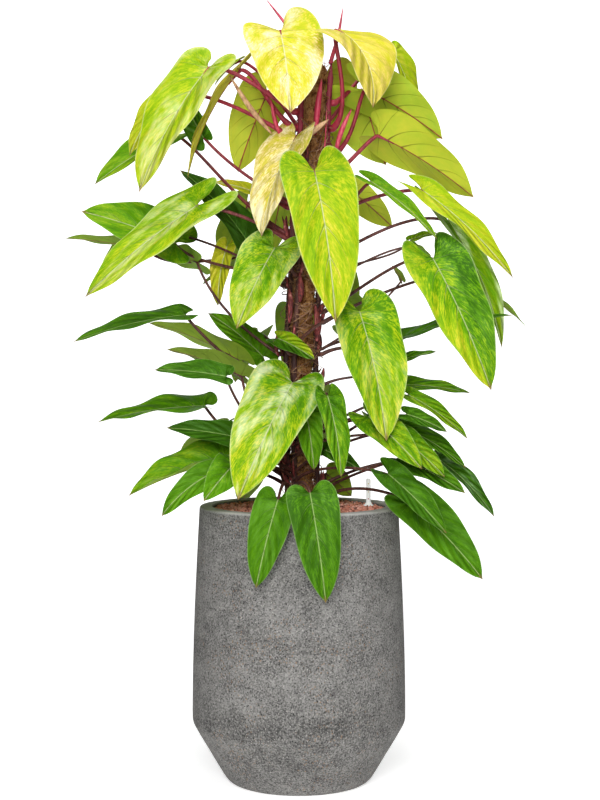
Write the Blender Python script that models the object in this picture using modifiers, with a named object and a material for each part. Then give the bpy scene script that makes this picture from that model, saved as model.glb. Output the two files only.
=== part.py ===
"""Potted climbing philodendron on a coir pole, in a tapered stone planter.

Units are metres and +Z is up. The origin is the centre of the planter's base,
with the planter's axis on Z. The plant's front is at -Y.
Pieces: planter, clay granules, culture pot and root ball, pole, four climbing
stems, a water level gauge, new spears, and leaves with their stalks.
"""
import math
from collections import namedtuple

import bmesh
import bpy
from mathutils import Vector

# ---------------------------------------------------------------- dimensions
GAP = 0.0003                    # clearance between pieces that rest together

POT_HEIGHT = 0.530
POT_WALL = 0.025
POT_FLOOR = 0.030
POT_RIM_RADIUS = 0.191
POT_BELLY_RADIUS = 0.205        # widest part, at the shoulder
POT_SHOULDER_Z = 0.115          # below this the side slants in to the foot
POT_FOOT_RADIUS = 0.137
POT_EDGE = 0.007                # rounding of the rim

FILL_EDGE_Z = 0.521             # granules where they meet the planter
FILL_MOUND = 0.005              # how much higher they stand in the middle

TUB_RIM_Z = 0.512               # culture pot, sunk in the granules
TUB_HEIGHT = 0.190
TUB_RIM_RADIUS = 0.110
TUB_FOOT_RADIUS = 0.086
TUB_WALL = 0.002
TUB_SLOTS = 8
TUB_SLOT_SIZE = (0.030, 0.006, 0.040)
TUB_SLOT_RISE = 0.045           # slots' middle above the tub's foot

POLE_RADIUS = 0.022
STAKE_RADIUS = 0.012
POLE_BOTTOM_Z = TUB_RIM_Z - TUB_HEIGHT + TUB_WALL + GAP
COIR_BOTTOM_Z = 0.420
POLE_TOP_Z = 1.370
POLE_BOW = ((0.30, 0.004), (0.58, 0.006), (0.80, 0.003), (1.05, 0.013), (1.27, 0.027), (1.40, 0.034))

STEM_RADIUS = 0.006
STEM_BOTTOM_Z = 0.440
STEM_TWIST = math.radians(25)   # turn about the pole for each metre climbed

GAUGE_PLACE = (0.135, 0.036)
GAUGE_RADIUS = 0.0045
GAUGE_WALL = 0.001
GAUGE_BOTTOM_Z = 0.120
GAUGE_TOP_Z = 0.578
GAUGE_FLANGE_RADIUS = 0.011
GAUGE_FLANGE_HEIGHT = 0.006
FLOAT_RADIUS = 0.0028
FLOAT_BOTTOM_Z = 0.130
FLOAT_TOP_Z = 0.541
BORE_TOP_Z = POT_HEIGHT + 0.050 # cutters end well above the granules

LEAF_THICKNESS = 0.0014
LEAF_ROWS = 7
LEAF_COLUMNS = 4
STALK_RADIUS = 0.0030
STALK_BASE_RADIUS = 0.0036

# ------------------------------------------------------------------- plant
# A stem: its bearing about the pole at the foot, in degrees, and its top.
STEMS = {
    "left": (192, 1.395),
    "right": (-12, 1.375),
    "front": (236, 1.180),
    "back": (88, 1.300),
}

# A leaf: the stem it grows on, the height where it leaves it, the point where
# stalk and blade join, the blade's tip, its half width as a share of its
# length, and its roll about its own length in degrees.
Leaf = namedtuple("Leaf", "name stem node_z joint tip width roll")
LEAVES = (
    # crown
    Leaf("leaf_top_1", "left", 1.330, (-0.035, -0.050, 1.427), (-0.015, -0.150, 1.260), 0.42, -26),
    Leaf("leaf_top_2", "right", 1.250, (0.070, -0.050, 1.429), (0.137, -0.090, 1.277), 0.54, 4),
    # left side, from the top down
    Leaf("leaf_left_1", "left", 1.280, (-0.170, -0.040, 1.360), (-0.296, -0.100, 1.120), 0.27, -38),
    Leaf("leaf_left_2", "left", 1.050, (-0.240, 0.110, 1.252), (-0.400, 0.075, 1.150), 0.30, -50),
    Leaf("leaf_left_3", "left", 1.110, (-0.183, 0.020, 1.235), (-0.225, 0.090, 1.330), 0.24, 0),
    Leaf("leaf_left_4", "back", 1.250, (-0.060, 0.060, 1.330), (-0.120, 0.080, 1.175), 0.38, 45),
    Leaf("leaf_left_5", "left", 1.040, (-0.190, -0.060, 1.100), (-0.395, -0.120, 0.925), 0.17, -55),
    Leaf("leaf_left_6", "left", 0.950, (-0.240, 0.060, 1.035), (-0.420, 0.030, 1.095), 0.33, -75),
    Leaf("leaf_left_7", "left", 0.740, (-0.213, -0.060, 0.894), (-0.420, -0.100, 0.843), 0.24, -16),
    Leaf("leaf_left_8", "left", 0.690, (-0.115, -0.020, 0.810), (-0.290, 0.015, 0.880), 0.26, 42),
    Leaf("leaf_left_9", "left", 0.620, (-0.107, -0.080, 0.780), (-0.245, -0.120, 0.830), 0.27, 38),
    Leaf("leaf_left_10", "back", 0.730, (-0.070, 0.040, 0.815), (-0.178, 0.060, 0.900), 0.30, -70),
    Leaf("leaf_left_11", "left", 0.590, (-0.177, -0.060, 0.723), (-0.383, -0.040, 0.691), 0.27, -8),
    Leaf("leaf_left_12", "left", 0.575, (-0.139, -0.080, 0.622), (-0.316, -0.120, 0.558), 0.34, -12),
    Leaf("leaf_left_13", "front", 0.600, (-0.141, -0.150, 0.610), (-0.250, -0.180, 0.526), 0.23, -30),
    Leaf("leaf_left_14", "back", 0.990, (-0.290, 0.090, 1.020), (-0.457, 0.060, 1.045), 0.18, 0),
    # front, from the top down
    Leaf("leaf_front_1", "front", 1.170, (-0.005, -0.045, 1.231), (-0.070, -0.080, 1.040), 0.35, 0),
    Leaf("leaf_front_2", "front", 1.080, (0.028, -0.130, 1.159), (0.066, -0.210, 0.878), 0.26, 0),
    Leaf("leaf_front_3", "front", 0.970, (-0.045, -0.080, 1.019), (-0.114, -0.150, 0.867), 0.34, -26),
    Leaf("leaf_front_4", "front", 0.840, (0.112, -0.110, 0.900), (0.159, -0.180, 0.663), 0.31, 22),
    Leaf("leaf_front_5", "front", 0.700, (-0.012, -0.098, 0.768), (-0.110, -0.205, 0.558), 0.31, -20),
    Leaf("leaf_front_6", "right", 0.690, (0.052, -0.155, 0.745), (0.077, -0.170, 0.596), 0.20, 0),
    Leaf("leaf_front_7", "front", 0.560, (-0.038, -0.200, 0.558), (-0.077, -0.230, 0.402), 0.26, -15),
    Leaf("leaf_front_8", "front", 0.545, (0.020, -0.220, 0.573), (0.048, -0.240, 0.377), 0.26, 6),
    # right side, from the top down
    Leaf("leaf_right_1", "right", 1.200, (0.127, 0.020, 1.328), (0.278, 0.040, 1.235), 0.38, -55),
    Leaf("leaf_right_2", "right", 1.160, (0.151, 0.000, 1.238), (0.331, -0.040, 1.115), 0.31, -45),
    Leaf("leaf_right_3", "right", 1.080, (0.230, -0.050, 1.130), (0.398, -0.100, 0.961), 0.17, 36),
    Leaf("leaf_right_4", "right", 1.060, (0.133, -0.100, 1.140), (0.254, -0.140, 1.030), 0.15, 22),
    Leaf("leaf_right_5", "right", 1.000, (0.286, 0.000, 1.075), (0.387, -0.020, 0.830), 0.20, 32),
    Leaf("leaf_right_6", "right", 0.900, (0.248, -0.110, 0.998), (0.349, -0.180, 0.755), 0.25, 50),
    Leaf("leaf_right_7", "right", 0.820, (0.191, -0.040, 0.850), (0.400, -0.080, 0.893), 0.20, 16),
    Leaf("leaf_right_8", "right", 0.680, (0.186, -0.020, 0.762), (0.326, -0.040, 0.746), 0.22, 26),
    Leaf("leaf_right_9", "right", 0.640, (0.203, -0.100, 0.745), (0.313, -0.120, 0.663), 0.21, 16),
    Leaf("leaf_right_10", "front", 0.650, (0.128, -0.130, 0.706), (0.224, -0.180, 0.612), 0.27, 35),
    Leaf("leaf_right_11", "right", 0.570, (0.265, -0.040, 0.621), (0.367, -0.080, 0.514), 0.27, 20),
    Leaf("leaf_right_12", "right", 0.560, (0.184, -0.100, 0.627), (0.307, -0.140, 0.564), 0.27, 30),
    Leaf("leaf_right_13", "front", 0.580, (0.163, -0.160, 0.602), (0.267, -0.200, 0.497), 0.22, 34),
    Leaf("leaf_right_14", "right", 0.545, (0.207, -0.120, 0.547), (0.337, -0.160, 0.408), 0.25, 45),
    Leaf("leaf_right_15", "right", 0.880, (0.300, 0.080, 0.980), (0.446, 0.060, 0.870), 0.13, 0),
    # back, from the top down
    Leaf("leaf_back_1", "back", 1.290, (0.050, 0.100, 1.370), (0.060, 0.220, 1.200), 0.33, 0),
    Leaf("leaf_back_2", "back", 1.130, (-0.020, 0.150, 1.190), (-0.060, 0.270, 1.020), 0.30, 0),
    Leaf("leaf_back_3", "back", 1.000, (0.060, 0.120, 1.000), (0.100, 0.220, 0.850), 0.28, 0),
    Leaf("leaf_back_4", "back", 0.840, (-0.005, 0.130, 0.900), (0.000, 0.245, 0.720), 0.24, 0),
    Leaf("leaf_back_5", "back", 0.800, (0.110, 0.120, 0.850), (0.200, 0.230, 0.700), 0.28, 0),
    Leaf("leaf_back_6", "back", 0.580, (-0.060, 0.150, 0.640), (-0.120, 0.260, 0.500), 0.28, 0),
)

# Shape shared by every blade.
LEAF_BEND = math.radians(28)    # how far the blade arcs down from joint to tip
LEAF_FOLD = math.radians(18)    # how far each half lifts from the midrib
LEAF_LOBE = 0.22                # how far the lobes reach back past the joint

# A spear is a new leaf, still rolled, on the end of its stem.
Spear = namedtuple("Spear", "name stem tip radius")
SPEARS = (
    Spear("spear_left", "left", (-0.063, -0.010, 1.495), 0.0035),
    Spear("spear_right", "right", (0.084, -0.010, 1.480), 0.0035),
)
SPEAR_FOOT = 0.006              # straight start, in line with the stem


# ---------------------------------------------------------------- utilities
def clear_scene():
    for obj in list(bpy.data.objects):
        bpy.data.objects.remove(obj, do_unlink=True)


def new_collection(name):
    collection = bpy.data.collections.new(name)
    bpy.context.scene.collection.children.link(collection)
    return collection


def material(name, colour, roughness, metallic=0.0):
    mat = bpy.data.materials.new(name)
    mat.use_nodes = True
    shader = mat.node_tree.nodes["Principled BSDF"]
    shader.inputs["Base Color"].default_value = (*colour, 1.0)
    shader.inputs["Roughness"].default_value = roughness
    shader.inputs["Metallic"].default_value = metallic
    return mat


def add_object(name, mesh, mat, collection):
    obj = bpy.data.objects.new(name, mesh)
    collection.objects.link(obj)
    if mat is not None:
        mesh.materials.append(mat)
    return obj


def hide_as_cutter(obj):
    obj.hide_render = True
    obj.display_type = "WIRE"


def turned(name, profile, mat, collection, steps=40):
    """Turn a profile of (radius, height) points about Z."""
    mesh = bpy.data.meshes.new(name)
    bm = bmesh.new()
    closed = profile[0] == profile[-1]
    spots = profile[:-1] if closed else profile
    ring = [bm.verts.new((radius, 0.0, z)) for radius, z in spots]
    for start, end in zip(ring, ring[1:] + ring[:1] if closed else ring[1:]):
        bm.edges.new((start, end))
    bm.to_mesh(mesh)
    bm.free()
    obj = add_object(name, mesh, mat, collection)
    screw = obj.modifiers.new("Turn", "SCREW")
    screw.steps = steps
    screw.render_steps = steps
    screw.use_merge_vertices = True
    screw.merge_threshold = 0.00005
    screw.use_smooth_shade = True
    return obj


def tube(name, points, radii, mat, collection, sides=8):
    """Round solid with closed ends along a list of points."""
    curve = bpy.data.curves.new(name, "CURVE")
    curve.dimensions = "3D"
    curve.bevel_depth = 1.0
    curve.bevel_resolution = sides // 2 - 2
    curve.use_fill_caps = True
    spline = curve.splines.new("POLY")
    spline.points.add(len(points) - 1)
    for spot, point, radius in zip(spline.points, points, radii):
        spot.co = (*point, 1.0)
        spot.radius = radius
    guide = bpy.data.objects.new(name + "_curve", curve)
    collection.objects.link(guide)
    bpy.context.view_layer.update()
    evaluated = guide.evaluated_get(bpy.context.evaluated_depsgraph_get())
    mesh = bpy.data.meshes.new_from_object(evaluated)
    mesh.name = name
    bm = bmesh.new()
    bm.from_mesh(mesh)
    bmesh.ops.remove_doubles(bm, verts=bm.verts, dist=0.000001)
    bm.to_mesh(mesh)
    bm.free()
    mesh.shade_smooth()
    obj = add_object(name, mesh, mat, collection)
    obj.matrix_world = guide.matrix_world
    bpy.data.objects.remove(guide, do_unlink=True)
    return obj


def combine(obj, other, operation):
    step = obj.modifiers.new(operation.title(), "BOOLEAN")
    step.operation = operation
    step.solver = "EXACT"
    step.object = other


def interpolate(pairs, x):
    """Smooth value at x between (x, value) pairs."""
    for (x0, y0), (x1, y1) in zip(pairs, pairs[1:]):
        if x <= x1 or (x1, y1) == pairs[-1]:
            share = min(max((x - x0) / (x1 - x0), 0.0), 1.0)
            share = share * share * (3 - 2 * share)
            return y0 + (y1 - y0) * share


# ------------------------------------------------------------------ planter
# Height above the floor and set-in from the slanted side, down the round foot.
FOOT_ROUND = ((0.016, 0.0000), (0.008, 0.0006), (0.003, 0.0026), (0.000, 0.0065))


def planter_side():
    """Outer side of the planter from the rim down, as (radius, height)."""
    side = []
    for step in range(3):
        turn = math.radians(90 - 45 * step)
        side.append((POT_RIM_RADIUS - POT_EDGE + POT_EDGE * math.cos(turn),
                     POT_HEIGHT - POT_EDGE + POT_EDGE * math.sin(turn)))
    climb = POT_HEIGHT - POT_EDGE - POT_SHOULDER_Z
    for step in range(1, 6):
        share = step / 5
        bulge = math.sin(share * math.pi / 2)
        side.append((POT_RIM_RADIUS + (POT_BELLY_RADIUS - POT_RIM_RADIUS) * bulge,
                     POT_HEIGHT - POT_EDGE - climb * share))
    slope = (POT_BELLY_RADIUS - POT_FOOT_RADIUS) / POT_SHOULDER_Z
    for drop, share in FOOT_ROUND:
        side.append((POT_FOOT_RADIUS + slope * drop - share, drop))
    return side


def pot_inner_radius(z):
    """Radius of the planter's inside at height z."""
    if z < POT_SHOULDER_Z:
        slope = (POT_BELLY_RADIUS - POT_FOOT_RADIUS) / POT_SHOULDER_Z
        return POT_FOOT_RADIUS + slope * z - POT_WALL * 1.15
    share = (POT_HEIGHT - z) / (POT_HEIGHT - POT_SHOULDER_Z)
    bulge = math.sin(share * math.pi / 2)
    return POT_RIM_RADIUS + (POT_BELLY_RADIUS - POT_RIM_RADIUS) * bulge - POT_WALL


INSIDE_HEIGHTS = (POT_FLOOR, POT_SHOULDER_Z, 0.25, 0.40)


def build_planter(mats, parts):
    inside = [(0.0, POT_FLOOR)]
    inside += [(pot_inner_radius(z), z) for z in INSIDE_HEIGHTS]
    inside += [(pot_inner_radius(POT_HEIGHT), POT_HEIGHT - 0.003)]
    inside += [(pot_inner_radius(POT_HEIGHT) + 0.003, POT_HEIGHT)]
    profile = inside + planter_side() + [(0.0, 0.0)]
    return turned("planter", profile, mats["stone"], parts, steps=48)


def tub_radius(z):
    share = (z - TUB_RIM_Z + TUB_HEIGHT) / TUB_HEIGHT
    return TUB_FOOT_RADIUS + (TUB_RIM_RADIUS - TUB_FOOT_RADIUS) * share


def build_culture_pot(mats, parts, cutters):
    foot_z = TUB_RIM_Z - TUB_HEIGHT
    floor_z = foot_z + TUB_WALL
    profile = [
        (0.0, floor_z),
        (tub_radius(floor_z) - TUB_WALL, floor_z),
        (TUB_RIM_RADIUS - TUB_WALL, TUB_RIM_Z),
        (TUB_RIM_RADIUS, TUB_RIM_Z),
        (TUB_FOOT_RADIUS, foot_z),
        (0.0, foot_z),
    ]
    tub = turned("culture_pot", profile, mats["tub"], parts, steps=32)
    for index in range(TUB_SLOTS):
        turn = 2 * math.pi * (index + 0.5) / TUB_SLOTS
        radius = tub_radius(foot_z + TUB_SLOT_RISE)
        bpy.ops.mesh.primitive_cube_add(size=1.0)
        slot = bpy.context.active_object
        slot.name = f"cutter_tub_slot_{index + 1}"
        slot.scale = TUB_SLOT_SIZE
        slot.location = (radius * math.cos(turn), radius * math.sin(turn), foot_z + TUB_SLOT_RISE)
        slot.rotation_euler = (0.0, 0.0, turn)
        for owner in list(slot.users_collection):
            owner.objects.unlink(slot)
        cutters.objects.link(slot)
        hide_as_cutter(slot)
        combine(tub, slot, "DIFFERENCE")
    return tub


def build_root_ball(mats, parts, bores):
    """Granules and roots that fill the culture pot."""
    floor_z = TUB_RIM_Z - TUB_HEIGHT + TUB_WALL + GAP
    top_z = TUB_RIM_Z - GAP
    profile = [
        (0.0, top_z),
        (tub_radius(top_z) - TUB_WALL - GAP, top_z),
        (tub_radius(floor_z) - TUB_WALL - GAP, floor_z),
        (0.0, floor_z),
    ]
    ball = turned("root_ball", profile, mats["roots"], parts, steps=32)
    for bore in bores:
        combine(ball, bore, "DIFFERENCE")
    return ball


def build_granules(mats, parts, cutters, bores):
    """Clay granules that fill the planter round and over the culture pot."""
    crown = [(0.0, FILL_EDGE_Z + FILL_MOUND)]
    crown += [(0.09, FILL_EDGE_Z + FILL_MOUND * 0.7)]
    crown += [(pot_inner_radius(FILL_EDGE_Z) - GAP, FILL_EDGE_Z)]
    side = [(pot_inner_radius(z) - GAP, z) for z in reversed(INSIDE_HEIGHTS[1:])]
    foot = [(pot_inner_radius(POT_FLOOR) - GAP, POT_FLOOR + GAP), (0.0, POT_FLOOR + GAP)]
    fill = turned("clay_granules", crown + side + foot, mats["clay"], parts, steps=48)
    foot_z = TUB_RIM_Z - TUB_HEIGHT
    pocket_profile = [
        (0.0, TUB_RIM_Z + GAP),
        (TUB_RIM_RADIUS + GAP, TUB_RIM_Z + GAP),
        (TUB_FOOT_RADIUS + GAP, foot_z - GAP),
        (0.0, foot_z - GAP),
    ]
    pocket = turned("cutter_pocket", pocket_profile, None, cutters, steps=32)
    hide_as_cutter(pocket)
    combine(fill, pocket, "DIFFERENCE")
    for bore in bores:
        combine(fill, bore, "DIFFERENCE")
    return fill


# ----------------------------------------------------------- pole and stems
def pole_axis(z):
    return Vector((interpolate(POLE_BOW, z), 0.0, z))


def stem_centre(stem, z):
    bearing = math.radians(STEMS[stem][0]) + STEM_TWIST * (z - STEM_BOTTOM_Z)
    reach = POLE_RADIUS + STEM_RADIUS + GAP * 4
    return pole_axis(z) + Vector((math.cos(bearing), math.sin(bearing), 0.0)) * reach


def heights(low, high, step):
    count = max(2, round((high - low) / step))
    return [low + (high - low) * index / count for index in range(count + 1)]


def build_pole(mats, parts, cutters):
    stake_heights = heights(POLE_BOTTOM_Z, POLE_TOP_Z, 0.09)
    stake_points = [pole_axis(z) for z in stake_heights]
    stake = tube("pole_stake", stake_points, [STAKE_RADIUS] * len(stake_points),
                 mats["wood"], parts, sides=10)
    coir_heights = heights(COIR_BOTTOM_Z, POLE_TOP_Z - 0.012, 0.09)
    coir_points = [pole_axis(z) for z in coir_heights]
    coir = tube("coir_wrap", coir_points, [POLE_RADIUS] * len(coir_points),
                mats["coir"], parts, sides=16)
    bore = tube("cutter_stake", stake_points, [STAKE_RADIUS + GAP] * len(stake_points),
                None, cutters, sides=10)
    hide_as_cutter(bore)
    combine(coir, bore, "DIFFERENCE")
    return stake, coir


def stem_line(stem):
    top_z = STEMS[stem][1]
    return [stem_centre(stem, z) for z in heights(STEM_BOTTOM_Z, top_z, 0.06)]


def build_stems(mats, parts):
    for stem in STEMS:
        points = stem_line(stem)
        radii = [STEM_RADIUS] * len(points)
        tube(f"stem_{stem}", points, radii, mats["stem"], parts, sides=8)


def build_bores(cutters):
    """Cutters that clear the pole, the stems and the gauge from the fill."""
    bores = []
    pole_points = [pole_axis(z) for z in heights(COIR_BOTTOM_Z - GAP, BORE_TOP_Z, 0.09)]
    bores.append(tube("cutter_pole", pole_points, [POLE_RADIUS + GAP] * len(pole_points),
                      None, cutters, sides=16))
    stake_points = [pole_axis(z) for z in heights(POLE_BOTTOM_Z - 0.01, COIR_BOTTOM_Z + 0.02, 0.09)]
    bores.append(tube("cutter_stake_foot", stake_points, [STAKE_RADIUS + GAP] * len(stake_points),
                      None, cutters, sides=10))
    for stem in STEMS:
        points = [stem_centre(stem, z) for z in heights(STEM_BOTTOM_Z - GAP, BORE_TOP_Z, 0.06)]
        bores.append(tube(f"cutter_stem_{stem}", points, [STEM_RADIUS + GAP] * len(points),
                          None, cutters, sides=8))
    for bore in bores:
        hide_as_cutter(bore)
    return bores


# -------------------------------------------------------------- level gauge
def build_gauge(mats, parts, cutters):
    """Clear tube, flange on the granules and red float rod; returns the bore cutter."""
    inner = GAUGE_RADIUS - GAUGE_WALL
    tube_profile = [
        (0.0, GAUGE_TOP_Z),
        (GAUGE_RADIUS - GAUGE_WALL, GAUGE_TOP_Z),
        (GAUGE_RADIUS, GAUGE_TOP_Z - GAUGE_WALL),
        (GAUGE_RADIUS, GAUGE_BOTTOM_Z),
        (inner, GAUGE_BOTTOM_Z),
        (inner, GAUGE_TOP_Z - 2 * GAUGE_WALL),
        (0.0, GAUGE_TOP_Z - 2 * GAUGE_WALL),
    ]
    seat_z = FILL_EDGE_Z + FILL_MOUND
    flange_profile = [
        (GAUGE_RADIUS + GAP, seat_z + GAUGE_FLANGE_HEIGHT),
        (GAUGE_RADIUS + GAUGE_WALL, seat_z + GAUGE_FLANGE_HEIGHT),
        (GAUGE_FLANGE_RADIUS, seat_z + GAUGE_WALL),
        (GAUGE_FLANGE_RADIUS, seat_z),
        (GAUGE_RADIUS + GAP, seat_z),
        (GAUGE_RADIUS + GAP, seat_z + GAUGE_FLANGE_HEIGHT),
    ]
    float_profile = [
        (0.0, FLOAT_TOP_Z),
        (FLOAT_RADIUS, FLOAT_TOP_Z),
        (FLOAT_RADIUS, FLOAT_BOTTOM_Z),
        (0.0, FLOAT_BOTTOM_Z),
    ]
    bore_profile = [
        (0.0, BORE_TOP_Z),
        (GAUGE_RADIUS + GAP, BORE_TOP_Z),
        (GAUGE_RADIUS + GAP, GAUGE_BOTTOM_Z - GAP),
        (0.0, GAUGE_BOTTOM_Z - GAP),
    ]
    bore = turned("cutter_gauge", bore_profile, None, cutters, steps=16)
    hide_as_cutter(bore)
    pieces = [
        turned("gauge_tube", tube_profile, mats["clear"], parts, steps=16),
        turned("gauge_flange", flange_profile, mats["clear"], parts, steps=16),
        turned("gauge_float", float_profile, mats["float"], parts, steps=12),
    ]
    for obj in pieces + [bore]:
        obj.location = (*GAUGE_PLACE, 0.0)
    return bore


# ------------------------------------------------------------------- leaves
def leaf_axes(leaf):
    """Chord, side and upper normal of a blade, and the chord's length."""
    joint = Vector(leaf.joint)
    chord = Vector(leaf.tip) - joint
    length = chord.length
    chord.normalize()
    middle = (joint + Vector(leaf.tip)) / 2
    outward = Vector((middle.x - pole_axis(middle.z).x, middle.y, 0.0)).normalized()
    normal = outward * 0.8 + Vector((0.0, 0.0, 1.0))
    normal = (normal - chord * normal.dot(chord)).normalized()
    side = chord.cross(normal)
    roll = math.radians(leaf.roll)
    normal = normal * math.cos(roll) + side * math.sin(roll)
    return chord, chord.cross(normal), normal, length


def blade_point(leaf, axes, along, across):
    """Point of a blade: along is 0 at the joint and 1 at the tip, across is -1 to 1."""
    chord, side, normal, reach = axes
    arc = reach * (LEAF_BEND / 2) / math.sin(LEAF_BEND / 2)
    radius = arc / LEAF_BEND
    half = leaf.width * arc * (1 - along) ** 0.8 * (1 + 0.55 * along)
    half *= 1 - 0.15 * (1 - along) ** 6
    lobe = math.sin(math.pi * 0.85 * abs(across) ** 0.9) * (1 - along) ** 2.2
    station = arc * (along - LEAF_LOBE * lobe)
    start = LEAF_BEND / 2
    angle = start - station / radius
    lift = half * abs(across) * math.sin(LEAF_FOLD)
    forward = radius * (math.sin(start) - math.sin(angle)) + math.sin(angle) * lift
    rise = radius * (math.cos(angle) - math.cos(start)) + math.cos(angle) * lift
    sideways = half * across * math.cos(LEAF_FOLD)
    return Vector(leaf.joint) + chord * forward + normal * rise + side * sideways


def bezier(start, first, second, end, share):
    rest = 1 - share
    return (start * rest ** 3 + first * (3 * rest * rest * share)
            + second * (3 * rest * share * share) + end * share ** 3)


def stalk_points(leaf, axes):
    """Centre line of a stalk, from its stem's skin into its blade."""
    chord = axes[0]
    centre = stem_centre(leaf.stem, leaf.node_z)
    away = (centre - pole_axis(leaf.node_z)).normalized()
    joint = Vector(leaf.joint)
    run = joint - centre
    heading = Vector((run.x, run.y, 0.0)).normalized()
    start_way = (away * 0.7 + heading).normalized()
    root = centre + start_way * (STEM_RADIUS + GAP)
    neck = root + start_way * 0.006
    span = (joint - neck).length
    up = Vector((0.0, 0.0, 1.0))
    first = neck + (start_way + up * 0.6) * span * 0.3
    hang = max(0.0, -chord.z)
    second = joint + (neck - joint) * 0.22 + up * span * (0.30 * hang - 0.09) - axes[2] * span * 0.06
    middle = [bezier(neck, first, second, joint, step / 5) for step in range(6)]
    return [root] + middle + [joint + chord * 0.012]


def build_leaf(leaf, mat, parts, cutters):
    axes = leaf_axes(leaf)
    bm = bmesh.new()
    bmesh.ops.create_grid(bm, x_segments=LEAF_ROWS, y_segments=LEAF_COLUMNS, size=0.5)
    for vert in bm.verts:
        vert.co = blade_point(leaf, axes, vert.co.x + 0.5, vert.co.y * 2)
    bmesh.ops.remove_doubles(bm, verts=bm.verts, dist=0.0001)
    mesh = bpy.data.meshes.new(leaf.name)
    bm.to_mesh(mesh)
    bm.free()
    blade = add_object(leaf.name, mesh, mat, parts)
    skin = blade.modifiers.new("Thickness", "SOLIDIFY")
    skin.thickness = LEAF_THICKNESS
    skin.offset = 0.0
    points = stalk_points(leaf, axes)
    radii = [STALK_BASE_RADIUS] * 2 + [STALK_RADIUS] * (len(points) - 2)
    stalk = tube("stalk_of_" + leaf.name, points, radii, None, cutters, sides=6)
    hide_as_cutter(stalk)
    combine(blade, stalk, "UNION")
    return blade


def build_spear(spear, mat, parts):
    points = stem_line(spear.stem)
    growth = (points[-1] - points[-2]).normalized()
    foot = points[-1] + growth * GAP
    neck = foot + growth * SPEAR_FOOT
    tip = Vector(spear.tip)
    line = [foot] + [neck.lerp(tip, share) for share in (0.0, 0.35, 0.7, 1.0)]
    radii = [spear.radius * share for share in (1.0, 1.1, 1.0, 0.6, 0.15)]
    return tube(spear.name, line, radii, mat, parts, sides=8)


# --------------------------------------------------------------------- main
def main():
    clear_scene()
    parts = new_collection("potted_philodendron")
    cutters = new_collection("cutters")
    mats = {
        "stone": material("stone", (0.42, 0.41, 0.39), 0.85),
        "clay": material("clay", (0.22, 0.10, 0.06), 0.90),
        "tub": material("tub_plastic", (0.03, 0.03, 0.03), 0.50),
        "roots": material("roots", (0.20, 0.13, 0.08), 0.90),
        "wood": material("wood", (0.45, 0.30, 0.16), 0.80),
        "coir": material("coir", (0.16, 0.09, 0.05), 0.95),
        "stem": material("stem", (0.13, 0.05, 0.05), 0.60),
        "clear": material("clear_plastic", (0.80, 0.82, 0.80), 0.15),
        "float": material("float_red", (0.60, 0.05, 0.03), 0.40),
        "spear": material("spear", (0.45, 0.03, 0.06), 0.50),
        "leaf": material("leaf", (0.25, 0.42, 0.05), 0.45),
    }
    build_planter(mats, parts)
    build_pole(mats, parts, cutters)
    build_stems(mats, parts)
    bores = build_bores(cutters)
    gauge_bore = build_gauge(mats, parts, cutters)
    build_culture_pot(mats, parts, cutters)
    build_root_ball(mats, parts, bores)
    build_granules(mats, parts, cutters, bores + [gauge_bore])
    for leaf in LEAVES:
        build_leaf(leaf, mats["leaf"], parts, cutters)
    for spear in SPEARS:
        build_spear(spear, mats["spear"], parts)


main()
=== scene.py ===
# %% [markdown]
# # A climbing philodendron in a stone-look planter
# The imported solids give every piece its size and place. This script dresses them: a cast cement
# planter, clay granules, a coir pole with dark stems, and some eighty marbled leaves.
# Everything is in metres with +Z up, and the plant's front is at -Y.

# %% Load the frame
import itertools
import math
import random
from collections import namedtuple

import bmesh
import bpy
from mathutils import Matrix, Quaternion, Vector, noise


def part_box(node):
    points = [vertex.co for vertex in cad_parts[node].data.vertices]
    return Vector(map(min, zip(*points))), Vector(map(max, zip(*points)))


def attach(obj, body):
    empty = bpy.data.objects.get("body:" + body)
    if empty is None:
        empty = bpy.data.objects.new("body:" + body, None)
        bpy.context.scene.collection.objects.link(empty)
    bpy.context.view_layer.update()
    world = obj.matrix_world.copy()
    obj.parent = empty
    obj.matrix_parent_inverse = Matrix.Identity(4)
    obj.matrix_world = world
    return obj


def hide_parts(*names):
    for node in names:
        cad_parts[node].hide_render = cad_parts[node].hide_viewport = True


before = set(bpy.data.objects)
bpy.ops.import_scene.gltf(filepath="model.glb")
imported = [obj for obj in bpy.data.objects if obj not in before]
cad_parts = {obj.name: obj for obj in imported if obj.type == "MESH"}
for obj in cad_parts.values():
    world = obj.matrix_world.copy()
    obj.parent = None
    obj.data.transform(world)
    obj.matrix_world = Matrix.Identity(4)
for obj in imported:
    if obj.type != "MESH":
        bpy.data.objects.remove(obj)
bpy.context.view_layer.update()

# %% [markdown]
# ## Shader arithmetic
# A material is a graph of nodes, and most of a graph is arithmetic. It could be wired node by node,
# which is long and hard to read. Here a small class wraps a socket and overloads the operators, so
# that a mask is written as the formula that it is, and each operator adds its own Math node.

# %% Sockets as values
class Value:
    """A shader socket that takes part in Python arithmetic."""

    def __init__(self, finish, socket):
        self.finish = finish
        self.socket = socket

    def __add__(self, other):
        return self.finish.math("ADD", self, other)

    __radd__ = __add__

    def __sub__(self, other):
        return self.finish.math("SUBTRACT", self, other)

    def __rsub__(self, other):
        return self.finish.math("SUBTRACT", other, self)

    def __mul__(self, other):
        return self.finish.math("MULTIPLY", self, other)

    __rmul__ = __mul__

    def __truediv__(self, other):
        return self.finish.math("DIVIDE", self, other)

    def __abs__(self):
        return self.finish.math("ABSOLUTE", self)


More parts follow.
